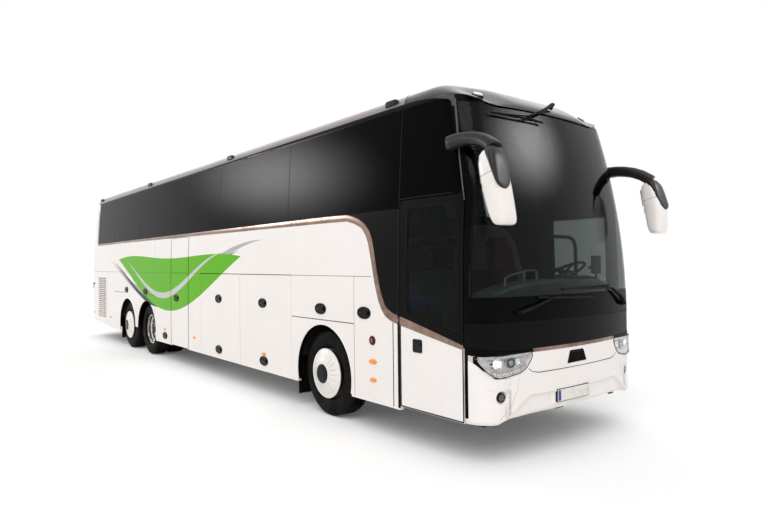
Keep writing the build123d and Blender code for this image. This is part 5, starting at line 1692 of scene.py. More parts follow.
    def _rings(self, levels: Sequence[Sequence[float]], side: int, outline: Sequence[Pair]) -> Form:
        """A closed body of one outline fitted to the edges at each level.

        Args:
            levels: Height, rear, front, inner and outer edge of each ring.
            side: RIGHT or LEFT.
            outline: Points of half size one.

        Returns:
            The form.
        """
        return Form().grid([
            [Vector((self.job.lines.x((rear + front) / 2 + u * (front - rear) / 2),
                     side * ((inner + outer) / 2 + v * (outer - inner) / 2), self._low(z, side))) for u, v in outline]
            for z, rear, front, inner, outer in levels
        ])

    def _back_edge(self, z: float) -> float:
        """Rear edge of the head at a height, from the front axle."""
        return float(np.interp(z, [row[0] for row in self.levels[::-1]], [row[1] for row in self.levels[::-1]]))


@dataclass
class Wipers:
    """Two lower wipers and one upper wiper, with their arms and caps."""

    job: Job
    lift: float = 0.016

    def build(self) -> None:
        """Make the three wipers."""
        front = self.job.skin.front
        for name, pivot, knee, tip, blade in (
            ("upper", (0.041, 3.442), (-0.180, 3.355), (-0.439, 3.262), ((-0.901, 3.256), (-0.226, 3.234))),
            ("lower_right", (-0.874, 1.382), (-0.700, 1.428), (-0.434, 1.505), ((-0.623, 1.510), (0.257, 1.476))),
            ("lower_left", (0.930, 1.382), (0.800, 1.470), (0.619, 1.556), ((-0.283, 1.580), (0.599, 1.589))),
        ):
            self._wiper(front, name, pivot, knee, tip, blade)

    def _wiper(self, front: Place, name: str, pivot: Pair, knee: Pair, tip: Pair, blade: tuple[Pair, Pair]) -> None:
        """One wiper: shaft and cap, arm, blade carrier and rubber.

        Args:
            front: Places points on the front.
            name: The wiper's name.
            pivot: Its shaft across and up.
            knee: Where the arm turns slender.
            tip: Where the arm meets the blade.
            blade: Both ends of the blade.
        """
        def off(spot: Pair, lift: float) -> Vector:
            point, normal = front(*spot)
            return point + normal * (lift + (self.lift if name == "upper" and lift > 0 else 0.0))

        whole = Form()
        whole.tube([off(pivot, -0.004), off(pivot, 0.012), off(pivot, 0.030), off(pivot, 0.040)],
                   [0.026, 0.024, 0.021, 0.010], 16)
        whole.tube([off(pivot, 0.030), off(knee, 0.042), off(tip, 0.030)], [0.030, 0.021, 0.014], 10, flat=0.7)
        (start_y, start_z), (end_y, end_z) = blade
        spots = [(start_y + (end_y - start_y) * k / 14, start_z + (end_z - start_z) * k / 14) for k in range(15)]
        whole.tube([off(spot, 0.015) for spot in spots], 0.0100, 6, flat=1.2)
        whole.tube([off(spot, 0.0065) for spot in spots], 0.0035, 6)
        whole.tube([off(tip, 0.036), off(tip, 0.010)], 0.011, 10)
        for share in (0.18, 0.82):
            spot = (start_y + (end_y - start_y) * share, start_z + (end_z - start_z) * share)
            middle = ((spot[0] + tip[0]) / 2, (spot[1] + tip[1]) / 2)
            whole.tube([off(tip, 0.028), off(middle, 0.030), off(spot, 0.016)], 0.0075, 6)
        self.job.put(whole, f"wiper_{name}", "rubber")


def ease(value: float, low: float, high: float) -> float:
    """Rise smoothly from 0 to 1 between two values."""
    share = min(max((value - low) / (high - low), 0.0), 1.0)
    return share * share * (3 - 2 * share)


PLATE_Y = -0.125  # middle of the number plate across the front


@dataclass
class Bumper:
    """The front bumper with its recess, lamp hollows and folds."""

    job: Job
    top: float = 0.8137
    wall: float = 0.006
    recess_depth: float = 0.030
    lamp: Pair = (1.050, 0.627)
    lamp_radius: float = 0.043
    cover: Pair = (0.964, 0.748)

    def build(self) -> None:
        """Make the bumper skin, its two lamps and its small covers."""
        self._skin()
        for side, word in SIDES:
            self._fog_lamp(side, word)

    def _bottom(self, turn: float) -> float:
        """Height of the lower edge: lower at the corners than in the middle."""
        return 0.388 + 0.050 * ease(turn, 0.55, 1.5)

    def _depth(self, y: float, z: float) -> float:
        """How far the skin lies behind the plain outer face at a point of the front."""
        off_plate, y = abs(y - PLATE_Y), abs(y)
        slope = 0.740 + max(0.0, 0.610 - z) * 1.53
        inside = ease(slope - y, 0.0, 0.030) * ease(0.622 - z, 0.0, 0.022)
        depth = self.recess_depth * inside
        shelf = ease(0.29 - off_plate, -0.012, 0.012) * ease(z, 0.478, 0.490) * ease(0.622 - z, 0.0, 0.010)
        depth -= 0.020 * shelf
        off = math.hypot(y - self.lamp[0], z - self.lamp[1])
        depth += 0.034 * ease(self.lamp_radius + 0.022 - off, 0.0, 0.020)
        brow = float(np.interp(y, (0.985, 0.996, 1.046, 1.127, 1.201), (0.600, 0.652, 0.687, 0.692, 0.729)))
        under = ease(brow - z, 0.0, 0.010) * ease(z, 0.50, 0.60)
        start = float(np.interp(z, (0.50, 0.54, 0.59, 0.649), (1.14, 1.075, 1.015, 0.985)))
        depth += 0.006 * under * ease(y, start, start + 0.014) * (1 - ease(y, 1.17, 1.24))
        plate = max(abs(y - self.cover[0]) - 0.034, abs(z - self.cover[1]) - 0.031)
        depth += 0.0025 * math.exp(-((plate / 0.0028) ** 2))
        return depth

    def _skin(self) -> None:
        """The moulded skin from one door edge round to the other side."""
        turns = [0.018 * k for k in range(1, 56)] + [1.0 + k / 170 for k in range(171)]
        turns = [(turn, RIGHT) for turn in turns] + [(turn, LEFT) for turn in reversed(turns[:-1])]
        levels = 72
        outer, inner = [], []
        for level in range(levels + 1):
            front_row, back_row = [], []
            for turn, side in turns:
                low = self._bottom(turn)
                y = self.job.skin.wrap(turn, 0.6, side)[0].y
                dip = 0.0150 * ease(abs(y), 0.95, 1.02) * (1 - ease(abs(y), 1.10, 1.16))
                z = low + (self.top - dip - low) * level / levels
                point, normal = self.job.skin.wrap(turn, max(z, 0.46), side)
                point.z = z
                depth = self._depth(point.y, z) if turn > 0.35 else 0.0
                roll = 0.016 * (1 - ease(z - low, 0.0, 0.030))
                outer_point = point - normal * (depth + roll)
                front_row.append(outer_point)
                back_row.append(outer_point - normal * self.wall)
            outer.append(front_row)
            inner.append(back_row)
        self.job.put(Form().shell(outer, inner), "front_bumper_skin", "body_paint", slot="body_paint",
                     nodes=["front_bumper"], angle=40)

    def _fog_lamp(self, side: int, word: str) -> None:
        """Round lamp with a black bezel, a reflector and a lens."""
        place, centre = self.job.skin.front, (side * self.lamp[0], self.lamp[1])
        ring = rounded(self.lamp_radius, self.lamp_radius, self.lamp_radius * 0.999, 9)
        bezel = pad(place, centre, ring, ((1.0, -0.040), (1.0, -0.022), (0.96, -0.016), (0.84, -0.015), (0.78, -0.020),
                                          (0.76, -0.036), (0.2, -0.038)))
        self.job.put(bezel, f"fog_lamp_bezel_{word}", "satin_black")
        bowl = pad(place, centre, ring, ((0.74, -0.036), (0.74, -0.024), (0.66, -0.026), (0.45, -0.033),
                                         (0.1, -0.0355)))
        self.job.put(bowl, f"fog_lamp_bowl_{word}", "frame_steel")
        lens = pad(place, centre, ring, ((0.755, -0.0215), (0.755, -0.0195), (0.60, -0.0165), (0.30, -0.0150),
                                         (0.05, -0.0147)))
        self.job.put(lens, f"fog_lamp_lens_{word}", "lamp_lens")


@dataclass
class Headlamps:
    """Headlamps under clear lenses, with their reflectors and a row of small lamps."""

    job: Job
    inner: float = 0.700
    outer: float = 1.262
    depth: float = 0.060
    row_count: int = 10

    def build(self) -> None:
        """Make both lamps."""
        for side, word in SIDES:
            self._lens(side, word)
            self._bowl(side, word)
            self._tip(side, word)
            self._lights(side, word)

    @staticmethod
    def _edges(y: float) -> Pair:
        """Lower and upper edge of the lens at a place across the front."""
        lower = (
            (0.686, 1.000), (0.715, 0.945), (0.768, 0.876), (0.810, 0.850), (0.860, 0.831), (0.960, 0.815),
            (1.040, 0.805), (1.090, 0.804), (1.140, 0.822), (1.180, 0.850), (1.215, 0.884), (1.245, 0.930),
            (1.265, 0.975), (1.285, 1.000),
        )
        low = np.interp(y, [spot[0] for spot in lower], [spot[1] for spot in lower])
        return float(low), float(np.interp(y, (0.686, 1.30), (1.018, 1.008)))

    def _patch(self, side: int, share: float, lift: float, columns: int = 44, rows: int = 16) -> list[list[Vector]]:
        """Points of the lens face, drawn in towards its middle and moved along the normal.

        Args:
            side: RIGHT or LEFT.
            share: Size of the patch as a share of the lens.
            lift: How far the points stand off the outer face.
            columns: Steps across.
            rows: Steps up.

        Returns:
            Rows of points from the lower to the upper edge.
        """
        middle = (self.inner + self.outer) / 2
        spots = [middle + (self.inner + (self.outer - self.inner) * k / columns - middle) * share
                 for k in range(columns + 1)]
        result = []
        for r in range(rows + 1):
            row = []
            for y in spots:
                low, high = self._edges(y)
                mid = (low + high) / 2
                z = mid + (low + (high - low) * r / rows - mid) * share
                point, normal = self.job.skin.front(side * y, z)
                row.append(point + normal * lift)
            result.append(row)
        return result

    def _lens(self, side: int, word: str) -> None:
        """Clear lens and its dark seal."""
        lens = Form().shell(self._patch(side, 1.0, 0.0030), self._patch(side, 1.0, -0.0010))
        self.job.put(lens, f"headlamp_lens_{word}", "lamp_lens", slot="lamp_lens", nodes=["headlamps"])
        edge = [(y, self._edges(y)[0]) for y in np.linspace(self.inner, self.outer, 36)]
        loop = edge + [(y, self._edges(y)[1]) for y in np.linspace(self.outer, self.inner, 30)]
        path = []
        for y, z in loop:
            point, normal = self.job.skin.front(side * y, z)
            path.append(point + normal * 0.0015)
        seal = Form().tube(path, 0.0042, 8, closed=True)
        self.job.put(seal, f"headlamp_seal_{word}", "rubber")

    def _bowl(self, side: int, word: str) -> None:
        """Bright housing behind the lens, with a stepped upper band."""
        front = self._patch(side, 0.985, -0.006, 60, 24)
        floor = self._patch(side, 0.90, -self.depth, 60, 24)
        rim = self._patch(side, 1.0, -0.0045, 60, 24)
        back = self._patch(side, 1.0, -self.depth - 0.012, 60, 24)
        rows, width = len(front), len(front[0])
        hollow = []
        for r in range(rows):
            row = []
            for c in range(width):
                edge = min(c, width - 1 - c) / (width - 1) * 4.5
                edge = min(edge, r / (rows - 1) * 2.8, max(0.0, 0.86 - r / (rows - 1)) * 2.8)
                span = (self.outer - self.inner) * c / (width - 1) + self.inner
                share = ease(edge, 0.06, 0.42) * ease(self.outer - span, 0.03, 0.17)
                flute = 0.003 * math.sin(c * 1.26) * ease(edge, 0.05, 0.15) * (1 - share)
                row.append(front[r][c].lerp(floor[r][c], share) + Vector((flute, 0, 0)))
            hollow.append(row)
        for c in range(width):
            hollow[0][c], hollow[-1][c] = rim[0][c], rim[-1][c]
        for r in range(rows):
            hollow[r][0], hollow[r][-1] = rim[r][0], rim[r][-1]
        self.job.put(Form().shell(hollow, back), f"headlamp_bowl_{word}", "lamp_housing", angle=50)

    def _tip(self, side: int, word: str) -> None:
        """Pale end of the housing, round the corner beyond the lens."""
        place, turn = self.job.on_corner(side), 1.0
        while abs(place(turn, 0.970)[0].y) < self.outer - 0.004:
            turn -= 0.01
        spots = [[place(max(turn - 0.035 * k, 0.02), 0.905 + 0.018 * r) for k in range(13)] for r in range(7)]
        front = [[point - normal * 0.002 for point, normal in row] for row in spots]
        back = [[point - normal * 0.012 for point, normal in row] for row in spots]
        self.job.put(Form().shell(front, back), f"headlamp_tip_{word}", "lamp_housing")

    def _lights(self, side: int, word: str) -> None:
        """Reflectors, projectors, slots and the row of small lamps."""
        def disc(spot: Pair, radius: float, levels: Sequence[Pair], tall: float = 1.0) -> Form:
            outline = [(u, v * tall) for u, v in rounded(radius, radius, radius * 0.999, 9)]
            return pad(self.job.skin.front, (side * spot[0], spot[1]), outline, levels)

        cups = Form().join(
            disc((1.089, 0.932), 0.056, ((1.0, -0.066), (1.0, -0.022), (0.97, -0.018), (0.93, -0.020), (0.80, -0.036),
                                         (0.55, -0.050), (0.25, -0.056)), 0.95),
            disc((0.936, 0.927), 0.050, ((1.0, -0.066), (1.0, -0.030), (0.96, -0.026), (0.90, -0.028), (0.78, -0.040),
                                         (0.55, -0.052)), 0.95),
            disc((0.846, 0.936), 0.038, ((1.0, -0.066), (1.0, -0.030), (0.95, -0.027), (0.90, -0.030), (0.75, -0.042),
                                         (0.45, -0.052), (0.15, -0.055)), 1.1),
        )
        self.job.put(cups, f"headlamp_reflectors_{word}", "reflector")
        rings = disc((0.936, 0.927), 0.040, ((1.0, -0.055), (1.0, -0.016), (0.93, -0.012), (0.80, -0.013),
                                             (0.78, -0.030), (0.6, -0.040)), 1.05)
        slot = pad(self.job.skin.front, (side * 1.172, 0.936), rounded(0.030, 0.0045, 0.004, 3),
                   ((1.0, -0.05), (1.0, -0.021), (0.9, -0.020)))
        self.job.put(rings.join(slot), f"headlamp_rings_{word}", "satin_black")
        bulbs = disc((1.089, 0.932), 0.022, ((1.0, -0.052), (1.0, -0.030), (0.80, -0.018), (0.45, -0.012),
                                             (0.12, -0.010)), 1.25)
        self.job.put(bulbs, f"headlamp_bulbs_{word}", "lit_lamp")
        eye = disc((0.936, 0.927), 0.031, ((1.0, -0.040), (1.0, -0.022), (0.80, -0.012), (0.45, -0.006),
                                           (0.12, -0.004)))
        self.job.put(eye, f"headlamp_projector_{word}", "mirror_glass")
        bars = Form().join(*(
            pad(self.job.skin.front, (side * 1.172, z), rounded(0.036, 0.006, 0.005, 3),
                ((1.0, -0.056), (1.0, -0.024), (0.85, -0.020), (0.3, -0.019)))
            for z in (0.955, 0.917, 0.885)
        ))
        self.job.put(bars, f"headlamp_bars_{word}", "reflector")
        lamps = Form()
        for k in range(self.row_count):
            y = 0.856 + (1.130 - 0.856) * k / (self.row_count - 1)
            z = self._edges(y)[0] + 0.026
            lamps.join(disc((y, z), 0.0085, ((1.0, -0.020), (1.0, -0.010), (0.8, -0.006), (0.3, -0.004)), 1.25))
        self.job.put(lamps, f"headlamp_row_{word}", "white_lens")


@dataclass
class FrontFittings:
    """Dark sensor window, blank number plate and the brackets under the corners."""

    job: Job
    plate_centre: Pair = (PLATE_Y, 0.565)
    plate_half: Pair = (0.2515, 0.055)

    def build(self) -> None:
        """Make the fittings of the front."""
        place = self.job.skin.front
        window = [(-0.158, 0.857), (0.160, 0.860), (0.106, 0.979), (-0.111, 0.979)]
        outline = self._soften([(y, z - 0.918) for y, z in window], 0.016)
        form = pad(place, (-0.057, 0.918), outline, ((1.0, -0.002), (1.0, 0.002), (0.97, 0.004), (0.93, 0.003),
                                                     (0.92, 0.0005), (0.4, 0.0005)))
        self.job.put(form, "sensor_window", "black_trim")
        self._plate()
        self._bracket()
        self._grille_slots()

    @staticmethod
    def _soften(corners: Sequence[Pair], radius: float, steps: int = 5) -> list[Pair]:
        """Round the corners of an outline."""
        result = []
        for index, corner in enumerate(corners):
            here = Vector(corner)
            before = (Vector(corners[index - 1]) - here).normalized() * radius
            after = (Vector(corners[(index + 1) % len(corners)]) - here).normalized() * radius
            for step in range(steps + 1):
                t = step / steps
                spot = here + before * (1 - t) ** 2 + after * t**2
                result.append((spot.x, spot.y))
        return result

    def _plate(self) -> None:
        """Blank number plate in a pressed holder."""
        half_y, half_z = self.plate_half
        for name, finish, outline, levels in (
            ("plate_holder", "satin_black", rounded(half_y + 0.006, half_z + 0.006, 0.010, 4),
             ((1.0, -0.024), (1.0, 0.003), (0.99, 0.005), (0.975, 0.005), (0.3, 0.002))),
            ("number_plate", "plate_white", rounded(half_y, half_z, 0.008, 4),
             ((1.0, 0.0), (1.0, 0.0075), (0.993, 0.0085), (0.3, 0.0085))),
            ("number_plate_stripe", "plate_stripe",
             [(u - half_y + 0.026, v) for u, v in rounded(0.021, half_z - 0.006, 0.004, 3)],
             ((1.0, 0.004), (1.0, 0.0094))),
        ):
            self.job.put(pad(self.job.skin.front, self.plate_centre, outline, levels), name, finish)

    def _bracket(self) -> None:
        """Steel bracket and step bolt under the front corners."""
        for side, word in SIDES:
            x = self.job.lines.x(2.36)
            form = Form()
            low, high = sorted((side * 1.02, side * 1.10))
            form.box((x - 0.09, low, 0.335), (x + 0.05, high, 0.345))
            form.box((x - 0.09, low, 0.345), (x - 0.08, high, 0.430))
            for ahead, foot, radius in ((0.02, 0.322, 0.012), (-0.04, 0.326, 0.010)):
                form.tube([Vector((x + ahead, side * 1.06, z)) for z in (foot, 0.352)], radius, 6)
            self.job.put(form, f"corner_bracket_{word}", "chassis_paint")

    def _grille_slots(self) -> None:
        """Fine air slots along the top of the sensor window, repeated across it."""
        point, _ = self.job.skin.front(-0.057, 0.965)
        bar = Form().box((point.x - 0.002, -0.1450, 0.9540), (point.x + 0.0022, -0.1390, 0.9680))
        self.job.repeat(bar, "sensor_window_slots", "satin_black", Count=13, Step=(0.0, 0.0135, 0.0))


@dataclass
class RoofFittings:
    """Marker lamps, edge fittings and the ribs of the roof hatches."""

    job: Job
    hatches: Pair = (-0.800, -8.600)

    def build(self) -> None:
        """Make everything on the roof."""
        marks, feet = Form(), Form()
        for y in (-0.867, 0.867):
            marks.join(pad(self.job.skin.front, (y, 3.478), rounded(0.060, 0.020, 0.018, 5),
                           ((1.0, 0.002), (1.0, 0.010), (0.92, 0.018), (0.70, 0.023), (0.30, 0.025))))
            feet.join(pad(self.job.skin.front, (y, 3.476), rounded(0.072, 0.028, 0.024, 5),
                          ((1.0, -0.004), (1.0, 0.004), (0.94, 0.008), (0.80, 0.008))))
        self.job.put(marks, "roof_markers", "white_lens")
        self.job.put(feet, "roof_marker_feet", "satin_black")
        for side, word in SIDES:
            form = Form()
            for step in (1.213, -2.829, -6.790, -10.640):
                point, _ = self.job.skin.top(step, side * 1.150)
                form.grid([
                    [Vector((point.x + u * share - 0.02 * rise, point.y + v * share, point.z + rise))
                     for u, v in rounded(0.100, 0.024, 0.02, 5)]
                    for share, rise in ((1.0, -0.030), (1.0, 0.004), (0.92, 0.016), (0.75, 0.024), (0.3, 0.026))
                ])
            self.job.put(form, f"roof_edge_fittings_{word}", "satin_black")
        for number, step in enumerate(self.hatches, start=1):
            x, top = self.job.lines.x(step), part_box("roof_hatches")[1].z
            rib = Form().grid([
                [Vector((x - 0.36 + u * share, v * share, top + rise)) for u, v in rounded(0.020, 0.330, 0.018, 4)]
                for share, rise in ((1.0, -0.012), (1.0, -0.0045), (0.92, -0.0015), (0.6, -0.0005))
            ])
            self.job.repeat(rib, f"roof_hatch_ribs_{number}", "hatch_plastic", slot="hatch_plastic", Count=7,
                            Step=(0.12, 0.0, 0.0))


@dataclass
class RearFittings:
    """Engine grilles, tail lamps, rear plate and the engine door's handle and vents."""

    job: Job
    grille: tuple[float, float, float, float] = (-10.640, -9.810, 0.560, 1.610)
    pitch: float = 0.048
    lamp: tuple[float, float, float, float] = (1.010, 1.200, 0.900, 1.350)

    def build(self) -> None:
        """Make the rear end's fittings."""
        for side, word in SIDES:
            self._grille(side, word)
            self._tail_lamp(side, word)
            self._hinge(side, word)
        self._engine_door()

    def _grille(self, side: int, word: str) -> None:
        """Black backing as painted shade behind the slats, slats with a rolled edge and an upright divider."""
        low_x, high_x, low_z, high_z = self.grille
        lines = self.job.lines
        count = int((high_z - low_z) // self.pitch)
        face = self.job.skin.side(low_x - 0.06, 1.1, side)[0].y
        rows = [
            [Vector((lines.x(x), face - side * depth, low_z - 0.012 + up)) for depth, up in (
                (0.010, 0.0), (0.004, 0.003), (0.0035, 0.008), (0.008, 0.014), (0.030, 0.020), (0.032, 0.016),
                (0.014, 0.006))]
            for x in (low_x + 0.012, high_x - 0.012)
        ]
        self.job.repeat(Form().grid(rows), f"engine_grille_slats_{word}", "body_paint", slot="body_paint", angle=50,
                        Count=count, Step=(0.0, 0.0, self.pitch))
        # painted shade: a black sheet just behind the slats stands in for the shade inside the engine bay
        inside = sorted((face - side * 0.047, face - side * 0.052))
        back = Form().box((lines.x(low_x), inside[0], low_z - 0.02), (lines.x(high_x), inside[1], high_z + 0.02))
        self.job.put(back, f"engine_grille_shade_backing_{word}", "satin_black")
        post = Form()
        for x in (low_x + 0.150, low_x + 0.560):
            edge = sorted((face - side * 0.012, face - side * 0.034))
            post.box((lines.x(x) - 0.014, edge[0], low_z), (lines.x(x) + 0.014, edge[1], high_z - 0.03))
        self.job.put(post, f"engine_grille_posts_{word}", "satin_black")

    def _tail_lamp(self, side: int, word: str) -> None:
        """Tall lamp with brake, turn and reversing fields in a black surround."""
        low_y, high_y, low_z, high_z = self.lamp
        place = self.job.skin.rear
        mid_y, half_y = side * (low_y + high_y) / 2, (high_y - low_y) / 2
        mid_z, half_z = (low_z + high_z) / 2, (high_z - low_z) / 2
        box = pad(place, (mid_y, mid_z), rounded(half_y - 0.001, half_z - 0.001, 0.020, 5), (
            (1.0, -0.040), (1.0, -0.003), (0.985, 0.0015), (0.93, 0.0015), (0.92, -0.010), (0.3, -0.010)))
        self.job.put(box, f"tail_lamp_box_{word}", "black_trim", slot="tail_lens", nodes=["tail_lamps"])
        for name, z, half, finish in (("brake", 1.250, 0.080, "red_lens"), ("turn", 1.098, 0.060, "amber_lens"),
                                      ("reverse", 0.972, 0.050, "white_lens")):
            ring = rounded(half_y * 0.80, half, 0.018, 5)
            lens = pad(place, (mid_y, z), ring, ((1.0, -0.012), (1.0, 0.002), (0.95, 0.007), (0.75, 0.010),
                                                 (0.3, 0.011)))
            self.job.put(lens, f"tail_lamp_{name}_{word}", finish)
        mark = pad(self.job.on_side(side), (-11.18, 1.30), rounded(0.022, 0.050, 0.014, 4),
                   ((1.0, -0.004), (1.0, 0.005), (0.85, 0.010), (0.4, 0.012)))
        self.job.put(mark, f"rear_marker_{word}", "red_lens")

    def _hinge(self, side: int, word: str) -> None:
        """Black hinge at the rear corner."""
        form = pad(self.job.on_side(side), (-11.02, 1.385), rounded(0.055, 0.026, 0.012, 4),
                   ((1.0, -0.004), (1.0, 0.010), (0.9, 0.016), (0.6, 0.018)))
        self.job.put(form, f"rear_corner_hinge_{word}", "satin_black")

    @staticmethod
    def _hollow(y: float, z: float) -> float:
        """How far the engine door's skin lies behind its plain face."""
        depth = 0.0
        for middle, half_y, half_z, deep in ((1.345, 0.300, 0.115, 0.024), (1.130, 0.125, 0.055, 0.030),
                                             (0.860, 0.640, 0.165, 0.022)):
            depth = max(depth, deep * ease(half_y - abs(y), 0.0, 0.016) * ease(half_z - abs(z - middle), 0.0, 0.016))
        return depth + 0.003 * math.exp(-(((z - 1.560) / 0.006) ** 2))

    def _engine_door(self) -> None:
        """Door skin with its hollows, vents, handle, plate and plate lamp."""
        rear = self.job.skin.rear
        low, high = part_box("engine_door")
        outer, inner = [], []
        for row in range(151):
            z = low.z + (high.z - low.z) * row / 150
            front_row, back_row = [], []
            for column in range(181):
                y = low.y + (high.y - low.y) * column / 180
                inside_y = min(max(y, low.y + 0.02), high.y - 0.02)
                point, normal = rear(inside_y, min(max(z, low.z + 0.02), high.z - 0.02))
                edge = min(z - low.z, high.z - z, y - low.y, high.y - y)
                depth = self._hollow(y, z) + 0.004 * (1 - ease(edge, 0.0, 0.008))
                face = Vector((point.x, y, z)) - normal * depth
                front_row.append(face)
                back_row.append(face - normal * 0.005)
            outer.append(front_row)
            inner.append(back_row)
        self.job.put(Form().shell(outer, inner), "engine_door_skin", "white_paint", "engine_door", slot="body_paint",
                     nodes=["engine_door"], angle=40)
        x = rear(0.0, 0.80)[0].x
        vent = Form().grid([
            [Vector((x + 0.010 + depth, y, 0.706 + up)) for depth, up in (
                (0.010, 0.0), (-0.002, 0.003), (-0.005, 0.010), (-0.002, 0.017), (0.010, 0.019))]
            for y in (-0.622, 0.622)
        ])
        self.job.repeat(vent, "engine_door_vents", "satin_black", "engine_door", angle=50, Count=9,
                        Step=(0.0, 0.0, 0.0345))
        for name, finish, spot, outline, levels in (
            ("engine_door_handle", "satin_black", (0.0, 1.142), rounded(0.100, 0.014, 0.012, 4),
             ((1.0, -0.030), (1.0, -0.008), (0.85, -0.003), (0.4, -0.002))),
            ("rear_plate", "plate_white", (0.0, 1.330), rounded(0.260, 0.056, 0.010, 4),
             ((1.0, -0.025), (1.0, -0.014), (0.99, -0.012), (0.98, -0.0128), (0.3, -0.0128))),
            ("rear_plate_lamp", "satin_black", (0.0, 1.428), rounded(0.090, 0.014, 0.010, 4),
             ((1.0, -0.025), (1.0, -0.008), (0.85, -0.003), (0.4, -0.002))),
        ):
            self.job.put(pad(rear, spot, outline, levels), name, finish, "engine_door")


def inflate(piece: bpy.types.Object, voxel: float, cap: float) -> None:
    """Swell a pad with a cloth simulation and keep the result as a plain mesh.

    Args:
        piece: The pad, modelled a little small.
        voxel: Size of its even mesh.
        cap: How far any point may move.
    """
    remesh = piece.modifiers.new("even", "REMESH")
    remesh.mode = "VOXEL"
    remesh.voxel_size = voxel
    remesh.use_smooth_shade = True
    piece.data = bpy.data.meshes.new_from_object(piece.evaluated_get(bpy.context.evaluated_depsgraph_get()))
    piece.modifiers.remove(remesh)
    start = np.empty(len(piece.data.vertices) * 3)
    piece.data.vertices.foreach_get("co", start)
    cloth = piece.modifiers.new("swell", "CLOTH")
    cloth.settings.use_pressure = True
    cloth.settings.uniform_pressure_force = 4.0
    cloth.settings.effector_weights.gravity = 0.0
    cloth.point_cache.frame_start, cloth.point_cache.frame_end = 1, 20
    for frame in range(1, 21):
        bpy.context.scene.frame_set(frame)
    evaluated = piece.evaluated_get(bpy.context.evaluated_depsgraph_get())
    end = np.empty_like(start)
    evaluated.data.vertices.foreach_get("co", end)
    piece.modifiers.remove(cloth)
    bpy.context.scene.frame_set(1)
    moved = (end - start).reshape(-1, 3)
    length = np.linalg.norm(moved, axis=1, keepdims=True)
    moved *= np.minimum(1.0, cap / np.maximum(length, 1e-9))
    piece.data.vertices.foreach_set("co", (start.reshape(-1, 3) + moved).ravel())
    piece.data.update()


@dataclass
class Seat:
    """One seat: where it stands and what it is covered with."""

    front: float
    low_y: float
    high_y: float
    floor: float
    cushion_top: float
    back_top: float
    places: int = 1
    depth: float = 0.450
    rake: float = 0.135
    back_height: float = 0.62

    def pads(self) -> Form:
        """Cushion, back and head rest as closed forms, a little smaller than the solid."""
        form = Form()
        height = self.back_top - self.cushion_top
        width = (self.high_y - self.low_y) / self.places
        for place in range(self.places):
            y = self.low_y + width * (place + 0.5)
            half = width / 2 - 0.018
            middle = self.front - self.depth / 2
            form.grid([
                [Vector((middle + u * share, y + v * share, self.cushion_top + up))
                 for u, v in rounded(self.depth / 2 - 0.014, half, 0.06, 5)]
                for share, up in ((0.86, -0.122), (0.97, -0.110), (1.0, -0.075), (0.98, -0.035), (0.90, -0.018),
                                  (0.5, -0.012))
            ])
            rows = []
            for share, up, thick in ((0.90, 0.02, 0.070), (0.97, 0.10, 0.106), (1.0, 0.22, 0.104),
                                     (0.99, 0.34, 0.092), (0.94, 0.44, 0.080), (0.78, 0.49, 0.074),
                                     (0.74, 0.55, 0.078), (0.70, 0.585, 0.066), (0.60, 0.605, 0.040)):
                lift = up * height / self.back_height
                x = self.front - 0.425 - self.rake / height * lift
                rows.append([
                    Vector((x + u * thick / 0.1, y + v * share, self.cushion_top + lift))
                    for u, v in rounded(0.046, half, 0.030, 5)
                ])
            form.grid(rows)
        return form

    def frame(self) -> Form:
        """Pedestal, back shell and arm rests."""
        form = Form()
        middle_y = (self.low_y + self.high_y) / 2
        half = (self.high_y - self.low_y) / 2
        middle = self.front - self.depth / 2
        outline = rounded(0.140, min(0.17, half - 0.06), 0.02, 3)
        form.grid([
            [Vector((middle + u * share, middle_y + v * share, z)) for u, v in outline]
            for share, z in ((1.0, self.floor), (1.0, self.floor + 0.02), (0.55, self.floor + 0.06),
                             (0.50, self.cushion_top - 0.20), (0.90, self.cushion_top - 0.135),
                             (0.90, self.cushion_top - 0.122))
        ])
        height = self.back_top - self.cushion_top
        for side in (RIGHT, LEFT):
            y = middle_y + side * (half - 0.020)
            form.tube([Vector((self.front - back, y, self.cushion_top + up)) for back, up in (
                (0.46, 0.16), (0.42, 0.205), (0.28, 0.215), (0.17, 0.205))], [0.010, 0.018, 0.019, 0.015], 8, flat=0.7)
        rows = []
        for lift, wide in ((0.0, 0.86), (0.20, 0.92), (0.42, 0.90), (0.54, 0.72)):
            rise = lift * height / self.back_height
            x = self.front - 0.478 - self.rake / height * rise
            rows.append([Vector((x + u, middle_y + v * wide, self.cushion_top + rise))
                         for u, v in rounded(0.008, half - 0.01, 0.007, 2)])
        form.grid(rows)
        return form


